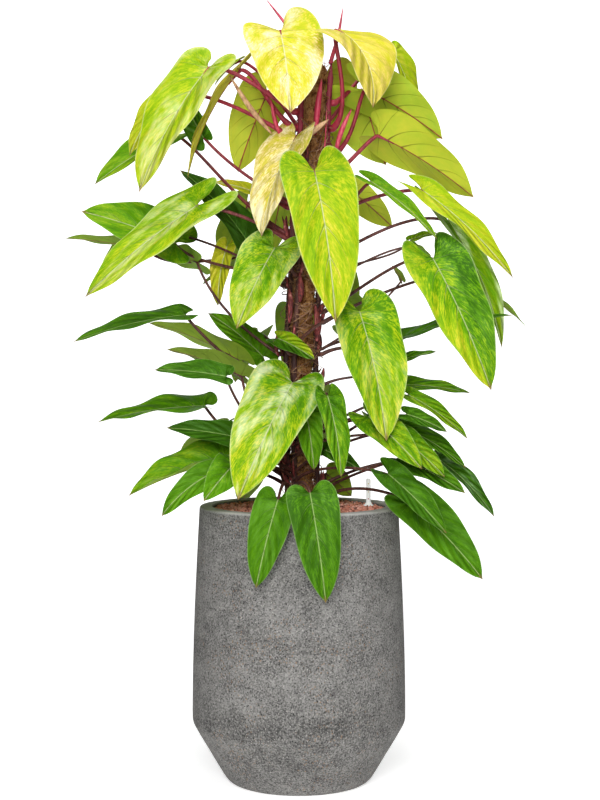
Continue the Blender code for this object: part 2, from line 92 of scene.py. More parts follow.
# %% A finish
class Finish:
    """A material whose nodes are written as expressions."""

    def __init__(self, name):
        self.material = bpy.data.materials.new(name)
        self.material.use_nodes = True
        self.tree = self.material.node_tree
        self.shader = self.tree.nodes["Principled BSDF"]

    def feed(self, entry, given):
        """Link a value to a socket, or set the socket to a constant."""
        if isinstance(given, Value):
            self.tree.links.new(given.socket, entry)
        else:
            entry.default_value = given

    def node(self, kind, settings=None, sockets=None, output=0):
        made = self.tree.nodes.new(kind)
        for key, setting in (settings or {}).items():
            if key == "stops":
                self.set_stops(made.color_ramp, setting)
            else:
                setattr(made, key, setting)
        for key, given in (sockets or {}).items():
            self.feed(made.inputs[key], given)
        return Value(self, made.outputs[output])

    @staticmethod
    def set_stops(ramp, stops):
        while len(ramp.elements) < len(stops):
            ramp.elements.new(0.5)
        for element, (place, colour) in zip(ramp.elements, stops):
            element.position = place
            element.color = (*colour, 1.0)

    def math(self, operation, *given):
        return self.node("ShaderNodeMath", {"operation": operation}, dict(enumerate(given)))

    def place(self, scale=(1.0, 1.0, 1.0), turn=(0.0, 0.0, 0.0)):
        """Object coordinates, stretched and turned."""
        spot = self.node("ShaderNodeTexCoord", output="Object")
        return self.node("ShaderNodeMapping", {}, {"Vector": spot, "Scale": scale, "Rotation": turn})

    def parts(self, vector):
        split = self.node("ShaderNodeSeparateXYZ", {}, {"Vector": vector})
        outputs = split.socket.node.outputs
        return [Value(self, outputs[axis]) for axis in range(3)]

    def vector(self, x, y, z):
        return self.node("ShaderNodeCombineXYZ", {}, {"X": x, "Y": y, "Z": z})

    def cloud(self, vector, scale, detail=2.0, rough=0.5):
        sockets = {"Vector": vector, "Scale": scale, "Detail": detail, "Roughness": rough}
        return self.node("ShaderNodeTexNoise", {}, sockets)

    def streaks(self, squash, scale, detail=2.0, rough=0.5):
        """Noise drawn out along Z, the more so the smaller squash is."""
        return self.cloud(self.place((1.0, 1.0, squash)), scale, detail, rough)

    def cells(self, scale, turn=(0.0, 0.0, 0.0)):
        """Distance to the nearest of many scattered points, for pits and single grains."""
        return self.node("ShaderNodeTexVoronoi", {}, {"Vector": self.place(turn=turn), "Scale": scale})

    def ease(self, low, high, value):
        """0 below low, 1 above high, and smooth between; low may be the higher."""
        sockets = {"Value": value, "From Min": low, "From Max": high}
        return self.node("ShaderNodeMapRange", {"interpolation_type": "SMOOTHSTEP"}, sockets)

    def mix(self, share, colour, other):
        sockets = {0: share}
        for key, given in ((6, colour), (7, other)):
            sockets[key] = given if isinstance(given, Value) else (*given, 1.0)
        return self.node("ShaderNodeMix", {"data_type": "RGBA"}, sockets, output=2)

    def ramp(self, value, stops):
        return self.node("ShaderNodeValToRGB", {"stops": stops}, {"Fac": value})

    def attribute(self, name):
        settings = {"attribute_type": "GEOMETRY", "attribute_name": name}
        return self.node("ShaderNodeAttribute", settings, output="Vector")

    def coat(self, colour, roughness, height=None, depth=0.001, **constants):
        """Join what was worked out to the shader; constants go on its own sockets."""
        for key, given in {"Base_Color": colour, "Roughness": roughness, **constants}.items():
            self.feed(self.shader.inputs[key.replace("_", " ")], given)
        if height is not None:
            sockets = {"Height": height, "Distance": depth, "Strength": 1.0}
            self.feed(self.shader.inputs["Normal"], self.node("ShaderNodeBump", {}, sockets))
        return self


# %% A streaked finish
Streaks = namedtuple("Streaks", "squash scale detail rough share")


def streaked_finish(name, fine, coarse, stops, roughness, depth, **constants):
    """Colours along a ramp by fine streaks and coarser patches. The fine streaks also stand out
    by depth, and roughness gives the least of it and how much the streaks add."""
    made = Finish(name)
    streak = made.streaks(*fine[:-1])
    shade = streak * fine.share
    if coarse:
        shade = shade + made.streaks(*coarse[:-1]) * coarse.share
    least, change = roughness
    return made.coat(made.ramp(shade, stops), streak * change + least, streak, depth, **constants)


# %% [markdown]
# ## Making pieces
# Each piece is drawn in a bmesh, which is Blender's editable mesh, and becomes one object at the
# origin. A round, bending thing such as a stem could be a bevelled curve. It is swept here instead:
# a grid is wrapped ring by ring round a line, so the radius, the colour along its run and its
# closed ends stay in our hands.

# %% Pieces
def mesh_object(bm, name, finishes, smooth=True):
    """Turn a bmesh into an object of the scene."""
    mesh = bpy.data.meshes.new(name)
    bm.to_mesh(mesh)
    bm.free()
    if smooth:
        mesh.shade_smooth()
    for finish in finishes:
        mesh.materials.append(finish.material)
    made = bpy.data.objects.new(name, mesh)
    bpy.context.scene.collection.objects.link(made)
    return made


def finish_piece(bm, name, finishes, nodes=(), smooth=True):
    """Turn a bmesh into a piece that rides on the frame, in place of the nodes it dresses."""
    piece = mesh_object(bm, name, finishes, smooth)
    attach(piece, "root")
    if nodes:
        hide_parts(*nodes)
    return piece


# %% Sweeps
SWEEP_WELD = 0.0000005
UP = Vector((0.0, 0.0, 1.0))


def compass(turn):
    """The level unit vector that points that way."""
    return Vector((math.cos(turn), math.sin(turn), 0.0))


def ring_frames(line, radii):
    """One matrix for each ring along a line, turned as little as the line allows."""
    frames = []
    turn = Quaternion()
    heading = UP
    for index, (point, radius) in enumerate(zip(line, radii)):
        ahead = (line[min(index + 1, len(line) - 1)] - line[max(index - 1, 0)]).normalized()
        turn = heading.rotation_difference(ahead) @ turn
        heading = ahead
        frames.append(Matrix.LocRotScale(point, turn, Vector((radius, radius, radius))))
    return frames


def sweep(bm, line, radii, sides):
    """Closed tube along a line: a grid wrapped round it and welded. Returns its vertices."""
    frames = ring_frames(line, radii)
    closing = Matrix.Diagonal((0.0, 0.0, 0.0, 1.0))
    frames = [frames[0] @ closing] + frames + [frames[-1] @ closing]
    steps = len(frames) - 1
    made = bmesh.ops.create_grid(bm, x_segments=steps, y_segments=sides, size=1.0)
    for vert in made["verts"]:
        ring = round((vert.co.x + 1) / 2 * steps)
        vert.co = frames[ring] @ compass(-math.pi * vert.co.y)
    bmesh.ops.remove_doubles(bm, verts=made["verts"], dist=SWEEP_WELD)
    return [vert for vert in made["verts"] if vert.is_valid]


def tapered(radius, loss, count):
    """Radii for that many rings, the last one smaller by its share of loss."""
    return [radius * (1 - loss * step / (count - 1)) for step in range(count)]


def draw_many(items, draw, layer_names=(), batch=40):
    """Draw many small shapes. They are drawn a few at a time, because every bmesh operator
    walks the whole mesh that it works in, and then the few are added to the rest."""
    whole = bmesh.new()
    for name in layer_names:
        whole.verts.layers.float_vector.new(name)
    for first in range(0, len(items), batch):
        few = bmesh.new()
        layers = [few.verts.layers.float_vector.new(name) for name in layer_names]
        for item in items[first:first + batch]:
            draw(few, item, *layers)
        carrier = bpy.data.meshes.new("carrier")
        few.to_mesh(carrier)
        few.free()
        whole.from_mesh(carrier)
        bpy.data.meshes.remove(carrier)
    return whole


def bezier(start, first, second, end, share):
    rest = 1 - share
    return (start * rest ** 3 + first * (3 * rest * rest * share)
            + second * (3 * rest * share * share) + end * share ** 3)


def smooth_line(points, count):
    """Points read evenly from a smooth curve through the given points."""
    ends = [points[0] * 2 - points[1]] + list(points) + [points[-1] * 2 - points[-2]]
    line = []
    for index in range(count):
        where = index / (count - 1) * (len(points) - 1)
        span = min(int(where), len(points) - 2)
        t = where - span
        p0, p1, p2, p3 = ends[span:span + 4]
        line.append(0.5 * (2 * p1 + (p2 - p0) * t + (2 * p0 - 5 * p1 + 4 * p2 - p3) * t * t
                           + (3 * p1 - p0 - 3 * p2 + p3) * t ** 3))
    return line


# %% [markdown]
# ## The planter
# The planter is cast in light cement: a straight-sided pot that swells a little, then slants in to
# a small round foot. It is a turned shape, so its profile is drawn once at one side and spun round.
# A lathe modifier would do as well; the spin is done in the mesh so that the seam can be welded.

# %% Planter sizes
_, POT_HIGH = (Vector(corner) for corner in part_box("planter"))
POT_HEIGHT = POT_HIGH.z
POT_BELLY_RADIUS = POT_HIGH.x
POT_RIM_RADIUS = POT_BELLY_RADIUS - 0.014
POT_WALL = 0.025
POT_FLOOR = 0.03
POT_EDGE = 0.005
POT_SHOULDER_Z = 0.115
POT_FOOT_RADIUS = 0.137
POT_INNER_FOOT = 0.115
POT_LIP = 0.003
POT_SIDE_STEP = 0.0205
POT_BEND = 0.006
SPIN_WELD = 0.000005
# Height above the floor, and how far the slant lies inside the straight line to the foot.
POT_SLANT = (
    (0.09, 0.0004), (0.07, 0.0004), (0.05, 0.0004), (0.032, 0.0004), (0.016, 0.0006),
    (0.011, 0.001), (0.007, 0.0019), (0.0035, 0.0038), (0.0012, 0.006), (0.0, 0.0085),
)
print("planter height and width:", POT_HEIGHT, 2 * POT_BELLY_RADIUS)


def pot_side_radius(z):
    share = (POT_HEIGHT - POT_EDGE - z) / (POT_HEIGHT - POT_EDGE - POT_SHOULDER_Z)
    bulge = math.sin(min(max(share, 0.0), 1.0) * math.pi / 2)
    return POT_RIM_RADIUS + (POT_BELLY_RADIUS - POT_RIM_RADIUS) * bulge


def arc(centre_x, centre_z, radius, start, end, steps):
    """Points of a rounded corner as (x, z); angles in degrees."""
    points = []
    for step in range(steps + 1):
        turn = math.radians(start + (end - start) * step / steps)
        points.append((centre_x + radius * math.cos(turn), centre_z + radius * math.sin(turn)))
    return points


# %% Planter profile and spin
def spin_profile(name, profile, finishes, nodes, steps=96, centre=(0.0, 0.0)):
    """Turn (radius, height) points about the upright line through centre."""
    bm = bmesh.new()
    spots = [bm.verts.new((radius, 0.0, z)) for radius, z in profile]
    rim = [bm.edges.new(pair) for pair in zip(spots, spots[1:])]
    bmesh.ops.spin(bm, geom=spots + rim, cent=(0, 0, 0), axis=(0, 0, 1), dvec=(0, 0, 0),
                   angle=2 * math.pi, steps=steps, use_merge=True, use_duplicate=False)
    bmesh.ops.remove_doubles(bm, verts=bm.verts, dist=SPIN_WELD)
    bmesh.ops.recalc_face_normals(bm, faces=bm.faces)
    bmesh.ops.translate(bm, verts=bm.verts, vec=(*centre, 0.0))
    return finish_piece(bm, name, finishes, nodes)


def planter_profile():
    """Half a section, from the middle of the inner floor over the rim to the middle of the foot."""
    belly = POT_BELLY_RADIUS
    inner_rim = POT_RIM_RADIUS - POT_WALL
    side_top = POT_HEIGHT - POT_EDGE
    slope = (belly - POT_FOOT_RADIUS) / POT_SHOULDER_Z
    inside = [(0.0, POT_FLOOR), (POT_INNER_FOOT, POT_FLOOR), (belly - POT_WALL, POT_SHOULDER_Z)]
    inside += [(pot_side_radius(z) - POT_WALL, z) for z in (0.2, 0.3, 0.4)]
    inside += [(inner_rim, POT_HEIGHT - 0.02)]
    inside += arc(inner_rim + POT_LIP, POT_HEIGHT - POT_LIP, POT_LIP, 180, 90, 4)
    rim = arc(POT_RIM_RADIUS - POT_EDGE, side_top, POT_EDGE, 90, 0, 8)
    heights = [side_top - step * POT_SIDE_STEP for step in range(1, 20)]
    wall = [(pot_side_radius(z), z) for z in heights]
    bend = [(belly - 0.0003, POT_SHOULDER_Z + POT_BEND), (belly - 0.0016, POT_SHOULDER_Z),
            (belly - slope * POT_BEND - 0.0008, POT_SHOULDER_Z - POT_BEND)]
    slant = [(POT_FOOT_RADIUS + slope * z - inset, z) for z, inset in POT_SLANT]
    return inside + rim + wall + bend + slant + [(0.0, 0.0)]


# %% [markdown]
# ### Cement
# Fibre cement is a mid grey with a fine sandy grain, dark pinholes where air sat against the mould,
# a few pale and rusty grains, and faint level bands where it was laid up. A picture could be wrapped
# round it, but noise in object space needs no unwrapping and is sharp at any distance.

# %% Cement finish
def cement_finish():
    cement = Finish("cast_cement")
    place = cement.place()
    _, _, z = cement.parts(place)
    bands = cement.cloud(cement.place((0.8, 0.8, 5.0)), 2.0, 4.0, 0.6)
    mottle = cement.cloud(place, 30.0, 4.0, 0.65)
    grain = cement.cloud(place, 300.0, 3.0, 0.6)
    colour = cement.ramp(bands * 0.25 + mottle * 0.2 + grain * 0.55, (
        (0.39, (0.052, 0.051, 0.049)), (0.48, (0.146, 0.142, 0.135)), (0.6, (0.262, 0.257, 0.246))))
    speck = cement.ease(0.57, 0.66, cement.cloud(place, 380.0, 1.0))
    speck = speck * cement.ease(0.36, 0.6, cement.streaks(1.6, 16.0, 3.0))
    colour = cement.mix(speck * 0.8, colour, (0.045, 0.046, 0.047))
    pit = cement.ease(0.24, 0.12, cement.cells(150.0))
    colour = cement.mix(pit * 0.85, colour, (0.022, 0.022, 0.022))
    pale = cement.ease(0.2, 0.08, cement.cells(170.0, (0.4, 0.9, 0.2)))
    colour = cement.mix(pale * 0.75, colour, (0.48, 0.455, 0.42))
    rust = cement.ease(0.3, 0.14, cement.cells(150.0, (1.3, 0.2, 0.7)))
    rust = rust * cement.ease(0.46, 0.6, cement.cloud(place, 14.0, 3.0))
    colour = cement.mix(rust * 0.65, colour, (0.25, 0.15, 0.085))
    # Painted highlight: the top few millimetres of the rim are made paler, standing in for the light that
    # falls on its flat top.
    rim = cement.ease(POT_HEIGHT - 0.006, POT_HEIGHT - 0.001, z)
    colour = cement.mix(rim * 0.7, colour, (0.56, 0.55, 0.525))
    height = grain * 0.5 + mottle * 0.2 - speck * 0.5 - pit * 0.9 + pale * 0.25
    return cement.coat(colour, 0.82 + grain * 0.14, height, 0.0012, Specular_IOR_Level=0.2)


CEMENT = cement_finish()
planter = spin_profile("planter_shell", planter_profile(), [CEMENT], ["planter"], steps=128)
print("planter faces:", len(planter.data.polygons))

# %% [markdown]
# ## Clay granules
# The planter is topped with broken fired clay, reddish brown and 5 to 8 mm across. Each granule is
# a coarse ball whose corners are pushed about, because hundreds of them have to stay light. They
# lie on a jittered grid of triangles, the way that poured gravel settles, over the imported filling.

# %% Clay finish
def clay_finish():
    clay = Finish("fired_clay")
    shade, warm, _ = clay.parts(clay.attribute("look"))
    grain = clay.cloud(clay.place(), 900.0, 3.0, 0.7)
    colour = clay.ramp(shade * 0.75 + grain * 0.3, (
        (0.14, (0.15, 0.045, 0.03)), (0.36, (0.68, 0.25, 0.17)),
        (0.72, (0.84, 0.37, 0.28)), (1.0, (0.92, 0.64, 0.55))))
    colour = clay.mix(warm * 0.45, colour, (0.3, 0.19, 0.15))
    return clay.coat(colour, 0.85, grain, 0.0006, Specular_IOR_Level=0.3)


# %% Granules
_, FILL_HIGH = (Vector(corner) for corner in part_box("clay_granules"))
FILL_EDGE_Z = POT_HEIGHT - 0.009
FILL_RADIUS = POT_RIM_RADIUS - POT_WALL
TRUNK_CLEARANCE = 0.02
GRANULE_STEP = 0.0075
GRANULE_JITTER = 0.0016
GRANULE_SIZES = (0.0025, 0.0038)
GRANULE_DENT = 0.22
GRANULE_LAYERS = 2
LAYER_RISE = 0.0028
UPPER_LAYER_SHARE = 0.3


def fill_height(radius):
    return FILL_HIGH.z + (FILL_EDGE_Z - FILL_HIGH.z) * min(radius / FILL_RADIUS, 1.0) ** 1.5


def granule_places(chance):
    """Jittered places over the filling: (x, y, height above it)."""
    places = []
    step_y = GRANULE_STEP * math.sqrt(3) / 2
    rows = int(FILL_RADIUS / step_y)
    every = range(-rows, rows + 1)
    for layer, row, column in itertools.product(range(GRANULE_LAYERS), every, every):
        x = (column + 0.5 * (row % 2)) * GRANULE_STEP + chance.uniform(-GRANULE_JITTER, GRANULE_JITTER)
        y = row * step_y + chance.uniform(-GRANULE_JITTER, GRANULE_JITTER)
        if not TRUNK_CLEARANCE < math.hypot(x, y) < FILL_RADIUS - 0.003:
            continue
        if layer == 0 or chance.random() < UPPER_LAYER_SHARE:
            places.append((x, y, chance.uniform(-0.001, 0.0012) + layer * LAYER_RISE))
    return places


def draw_granule(bm, item, look):
    (x, y, lift), chance = item
    size = chance.uniform(*GRANULE_SIZES)
    turn = Quaternion([chance.uniform(-1, 1) for _ in range(4)]).normalized()
    stretch = Vector((size * chance.uniform(0.85, 1.2), size, size * chance.uniform(0.7, 0.95)))
    shape = Matrix.LocRotScale(Vector((x, y, fill_height(math.hypot(x, y)) + lift)), turn, stretch)
    made = bmesh.ops.create_icosphere(bm, subdivisions=1, radius=1.0, matrix=shape)
    shade = Vector((chance.random(), chance.random() ** 3, chance.random()))
    for vert in made["verts"]:
        vert.co += Vector([chance.uniform(-GRANULE_DENT, GRANULE_DENT) * size for _ in range(3)])
        vert[look] = shade


granule_chance = random.Random(11)
granule_items = [(place, granule_chance) for place in granule_places(granule_chance)]
granules = finish_piece(draw_many(granule_items, draw_granule, ["look"]), "loose_granules",
                        [clay_finish()], ["clay_granules"], smooth=False)
print("granules:", len(granule_items), "faces:", len(granules.data.polygons))

# %% Bed under the granules, dark as painted shade in the gaps
BED_GAP = 0.0008
BED_SINK = 0.001


def bed_profile():
    """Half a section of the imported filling, just under the loose granules and inside the wall."""
    top = [(FILL_RADIUS * share, fill_height(FILL_RADIUS * share) - BED_SINK)
           for share in (0.0, 0.3, 0.6, 0.85)]
    side = [(FILL_RADIUS - 0.0006, FILL_EDGE_Z - BED_SINK),
            (pot_side_radius(0.4) - POT_WALL - BED_GAP, 0.4),
            (POT_BELLY_RADIUS - POT_WALL - BED_GAP, POT_SHOULDER_Z)]
    bottom = [(radius, POT_FLOOR + 0.0005) for radius in (POT_INNER_FOOT - 0.001, 0.0)]
    return top + side + bottom


def gap_shade_finish():
    bed = Finish("painted_gap_shade")
    lumps = bed.cells(170.0)
    # Painted shade: the bed is near black, so that the gaps between the loose granules look shaded; it is a
    # little lighter towards the middle of each cell.
    colour = bed.ramp(lumps, ((0.1, (0.11, 0.045, 0.032)), (0.55, (0.012, 0.007, 0.006))))
    return bed.coat(colour, 0.9, lumps, 0.002)


bed = spin_profile("granule_bed", bed_profile(), [gap_shade_finish()], ["clay_granules"], steps=64)
print("bed faces:", len(bed.data.polygons))

# %% [markdown]
# ## The pole and its stems
# Under the leaves runs a pole wrapped in coir, the brown fibre of coconut husk, which climbing roots
# can grip. Four stems go up beside it. The wrap is a swept tube whose surface is pushed in and out by
# noise, with loose fibres laid over it; a displacement in the shader alone would leave a clean outline.

# %% Lines of the pole and the stems
COIR_BOTTOM_Z = 0.42
COIR_TOP_Z = 1.38
POLE_RADIUS = 0.022
POLE_BOW = ((0.3, 0.004), (0.58, 0.006), (0.8, 0.003), (1.05, 0.013), (1.27, 0.027), (1.4, 0.034))
STEM_RADIUS = 0.006
STEM_GAP = 0.001
STEM_BOTTOM_Z = 0.44
STEM_TWIST = math.radians(25)
STEMS = {"left": (192, 1.395), "right": (-12, 1.375), "front": (236, 1.18), "back": (88, 1.3)}


def interpolate(pairs, x):
    """Smooth value at x between (x, value) pairs."""
    for (x0, y0), (x1, y1) in zip(pairs, pairs[1:]):
        if x <= x1 or (x1, y1) == pairs[-1]:
            share = min(max((x - x0) / (x1 - x0), 0.0), 1.0)
            share = share * share * (3 - 2 * share)
            return y0 + (y1 - y0) * share


def pole_axis(z):
    return Vector((interpolate(POLE_BOW, z), 0.0, z))


def beside_pole(z, bearing, reach):
    """The point at that height that lies that far from the pole's axis, on that bearing."""
    return pole_axis(z) + compass(bearing) * reach


def stem_centre(stem, z):
    bearing = math.radians(STEMS[stem][0]) + STEM_TWIST * (z - STEM_BOTTOM_Z)
    return beside_pole(z, bearing, POLE_RADIUS + STEM_RADIUS + STEM_GAP)


# %% Coir wrap
COIR = streaked_finish(
    "coir_fibre", Streaks(0.35, 340.0, 5.0, 0.75, 0.6), Streaks(1.0, 55.0, 3.0, 0.6, 0.5),
    ((0.37, (0.008, 0.003, 0.002)), (0.47, (0.2, 0.072, 0.022)),
     (0.57, (0.58, 0.27, 0.095)), (0.72, (0.9, 0.6, 0.28))),
    (0.92, 0.0), 0.01, Specular_IOR_Level=0.1)
COIR_RINGS = 150
FIBRE_COUNT = 1400
LOWEST_FIBRE_Z = 0.54


def push_out(verts, size, scale, seed):
    """Move each point in or out from the pole's axis by noise."""
    offset = Vector((seed, 0.0, 0.0))
    for vert in verts:
        middle = pole_axis(vert.co.z)
        away = Vector((vert.co.x - middle.x, vert.co.y - middle.y, 0.0))
        if away.length > 0.001:
            vert.co += away.normalized() * noise.noise(vert.co * scale + offset) * size


def draw_fibre(bm, chance):
    """One short fibre that bows off the wrap and back."""
    z = chance.uniform(LOWEST_FIBRE_Z, COIR_TOP_Z - 0.004)
    bearing = chance.uniform(0, 2 * math.pi)
    drift = chance.uniform(-1.0, 1.0)
    rise = chance.uniform(-0.02, 0.02)
    bow = chance.uniform(0.002, 0.008)
    line = []
    for step in range(5):
        share = step / 4
        reach = POLE_RADIUS + 0.0002 + bow * math.sin(share * math.pi)
        line.append(beside_pole(min(z + rise * share, COIR_TOP_Z), bearing + drift * share, reach))
    sweep(bm, line, [chance.uniform(0.0004, 0.0008)] * 5, 3)


def build_wrap():
    line = [pole_axis(COIR_BOTTOM_Z + (COIR_TOP_Z - COIR_BOTTOM_Z) * step / COIR_RINGS)
            for step in range(COIR_RINGS + 1)]
    radii = [POLE_RADIUS - 0.001] * (COIR_RINGS - 2) + [POLE_RADIUS * share for share in (0.85, 0.6, 0.3)]
    bm = bmesh.new()
    skin = sweep(bm, line, radii, 40)
    push_out(skin, 0.006, 70.0, 3.0)
    push_out(skin, 0.0032, 240.0, 8.0)
    return finish_piece(bm, "coir_pole", [COIR], ["coir_wrap"])


wrap = build_wrap()
fibres = finish_piece(draw_many([random.Random(seed) for seed in range(FIBRE_COUNT)], draw_fibre),
                      "coir_fibres", [COIR])
print("wrap faces:", len(wrap.data.polygons), "fibre faces:", len(fibres.data.polygons))

# %% [markdown]
# ### Stems and roots
# A philodendron's stem keeps a pale ring where every old leaf let go, and thin tan roots wander from
# the rings over the pole. The rings are made by swelling the swept radius. The shader then darkens the
# stem in streaks from maroon to grey brown, because old bark loses its colour unevenly.

# %% Stem finish
def stem_finish():
    stem = Finish("stem_bark")
    _, _, z = stem.parts(stem.place())
    streak = stem.streaks(0.14, 260.0, 4.0, 0.6)
    blotch = stem.streaks(1.0, 38.0, 3.0)
    old = stem.ramp(streak * 0.6 + blotch * 0.45, (
        (0.34, (0.012, 0.006, 0.005)), (0.54, (0.055, 0.018, 0.015)), (0.74, (0.17, 0.07, 0.05))))
    fresh = stem.ramp(streak * 0.7 + blotch * 0.3, (
        (0.3, (0.12, 0.012, 0.022)), (0.7, (0.34, 0.04, 0.07))))
    colour = stem.mix(stem.ease(0.95, 1.3, z), old, fresh)
    return stem.coat(colour, 0.45 + blotch * 0.3, streak, 0.001, Specular_IOR_Level=0.3)


STEM = stem_finish()

# %% Stems
STEM_STEPS = 170
LOWEST_RING_Z = 0.55
RING_WIDTH = 0.003


def build_stem(name):
    top = STEMS[name][1]
    chance = random.Random(name)
    rings = []
    z = LOWEST_RING_Z
    while z < top - 0.02:
        rings.append(z)
        z += chance.uniform(0.022, 0.04)
    line = []
    radii = []
    for step in range(STEM_STEPS + 1):
        z = STEM_BOTTOM_Z + (top - STEM_BOTTOM_Z) * step / STEM_STEPS
        line.append(stem_centre(name, z))
        swell = max(math.exp(-((z - ring) / RING_WIDTH) ** 2) for ring in rings)
        radii.append(STEM_RADIUS * (0.9 + 0.16 * swell + 0.04 * math.sin(z * 90)))
        radii[-1] *= min(1.0, 0.35 + (top - z) / 0.05)
    bm = bmesh.new()
    sweep(bm, line, radii, 14)
    return finish_piece(bm, f"climbing_stem_{name}", [STEM], [f"stem_{name}"])


stems = [build_stem(name) for name in STEMS]
print("stems:", len(stems))

# %% Aerial roots
ROOT = streaked_finish(
    "aerial_root", Streaks(1.0, 120.0, 3.0, 0.6, 1.0), None,
    ((0.3, (0.05, 0.018, 0.01)), (0.52, (0.25, 0.115, 0.06)), (0.72, (0.48, 0.29, 0.16))),
    (0.7, 0.0), 0.0006)
ROOT_COUNT = 290
FREE_ROOT_COUNT = 26
LOWEST_ROOT_Z = 0.53


def draw_root(bm, chance):
    """A thin root that leaves a stem and feels its way round the pole."""
    z = chance.uniform(0.55, 1.3)
    bearing = chance.uniform(0, 2 * math.pi)
    drift = chance.choice((-1, 1)) * chance.uniform(0.5, 2.6)
    fall = chance.uniform(-0.06, 0.015)
    bow = chance.uniform(0.004, 0.016)
    points = []
    for step in range(6):
        share = step / 5
        reach = POLE_RADIUS + 0.004 + bow * math.sin(share * math.pi) + chance.uniform(-0.001, 0.003)
        height = max(z + fall * share + chance.uniform(-0.005, 0.005), LOWEST_ROOT_Z)
        points.append(beside_pole(height, bearing + drift * share, reach))
    sweep(bm, smooth_line(points, 16), tapered(chance.uniform(0.0006, 0.0016), 0.5, 16), 5)


def draw_free_root(bm, chance):
    """A wiry root that has let go of the pole and hangs in the air."""
    z = chance.uniform(0.62, 1.16)
    bearing = chance.uniform(0, 2 * math.pi)
    reach = chance.uniform(0.025, 0.07)
    points = []
    for step in range(7):
        share = step / 6
        turn = bearing + 0.5 * share + chance.uniform(-0.08, 0.08)
        height = z - 0.03 * share ** 2 + chance.uniform(-0.004, 0.004)
        points.append(beside_pole(height, turn, POLE_RADIUS + 0.002 + reach * share))
    sweep(bm, smooth_line(points, 20), tapered(chance.uniform(0.0004, 0.0007), 0.6, 20), 5)


root_chances = [random.Random(seed) for seed in range(ROOT_COUNT)]
roots = finish_piece(draw_many(root_chances, draw_root), "aerial_roots", [ROOT])
free_chances = [random.Random(500 + seed) for seed in range(FREE_ROOT_COUNT)]
free_roots = finish_piece(draw_many(free_chances, draw_free_root), "free_roots", [ROOT])
print("root faces:", len(roots.data.polygons), len(free_roots.data.polygons))

# %% [markdown]
# ## The leaves
# The plant is known by its leaves: long hearts that taper to a drawn-out tip, waxy, with a pale
# midrib, and splashed along the side veins with lime and yellow. Each one is described by a few
# numbers: the stem that it grows on and how high, where the stalk joins the blade, where the tip
# is, how wide it is, how it is rolled, and how yellow and how marbled it has turned.

# %% Leaf sizes
# Width is half of the blade's width over its length, and roll is in degrees.
Leaf = namedtuple("Leaf", "name stem node_z joint tip width roll tone marble")

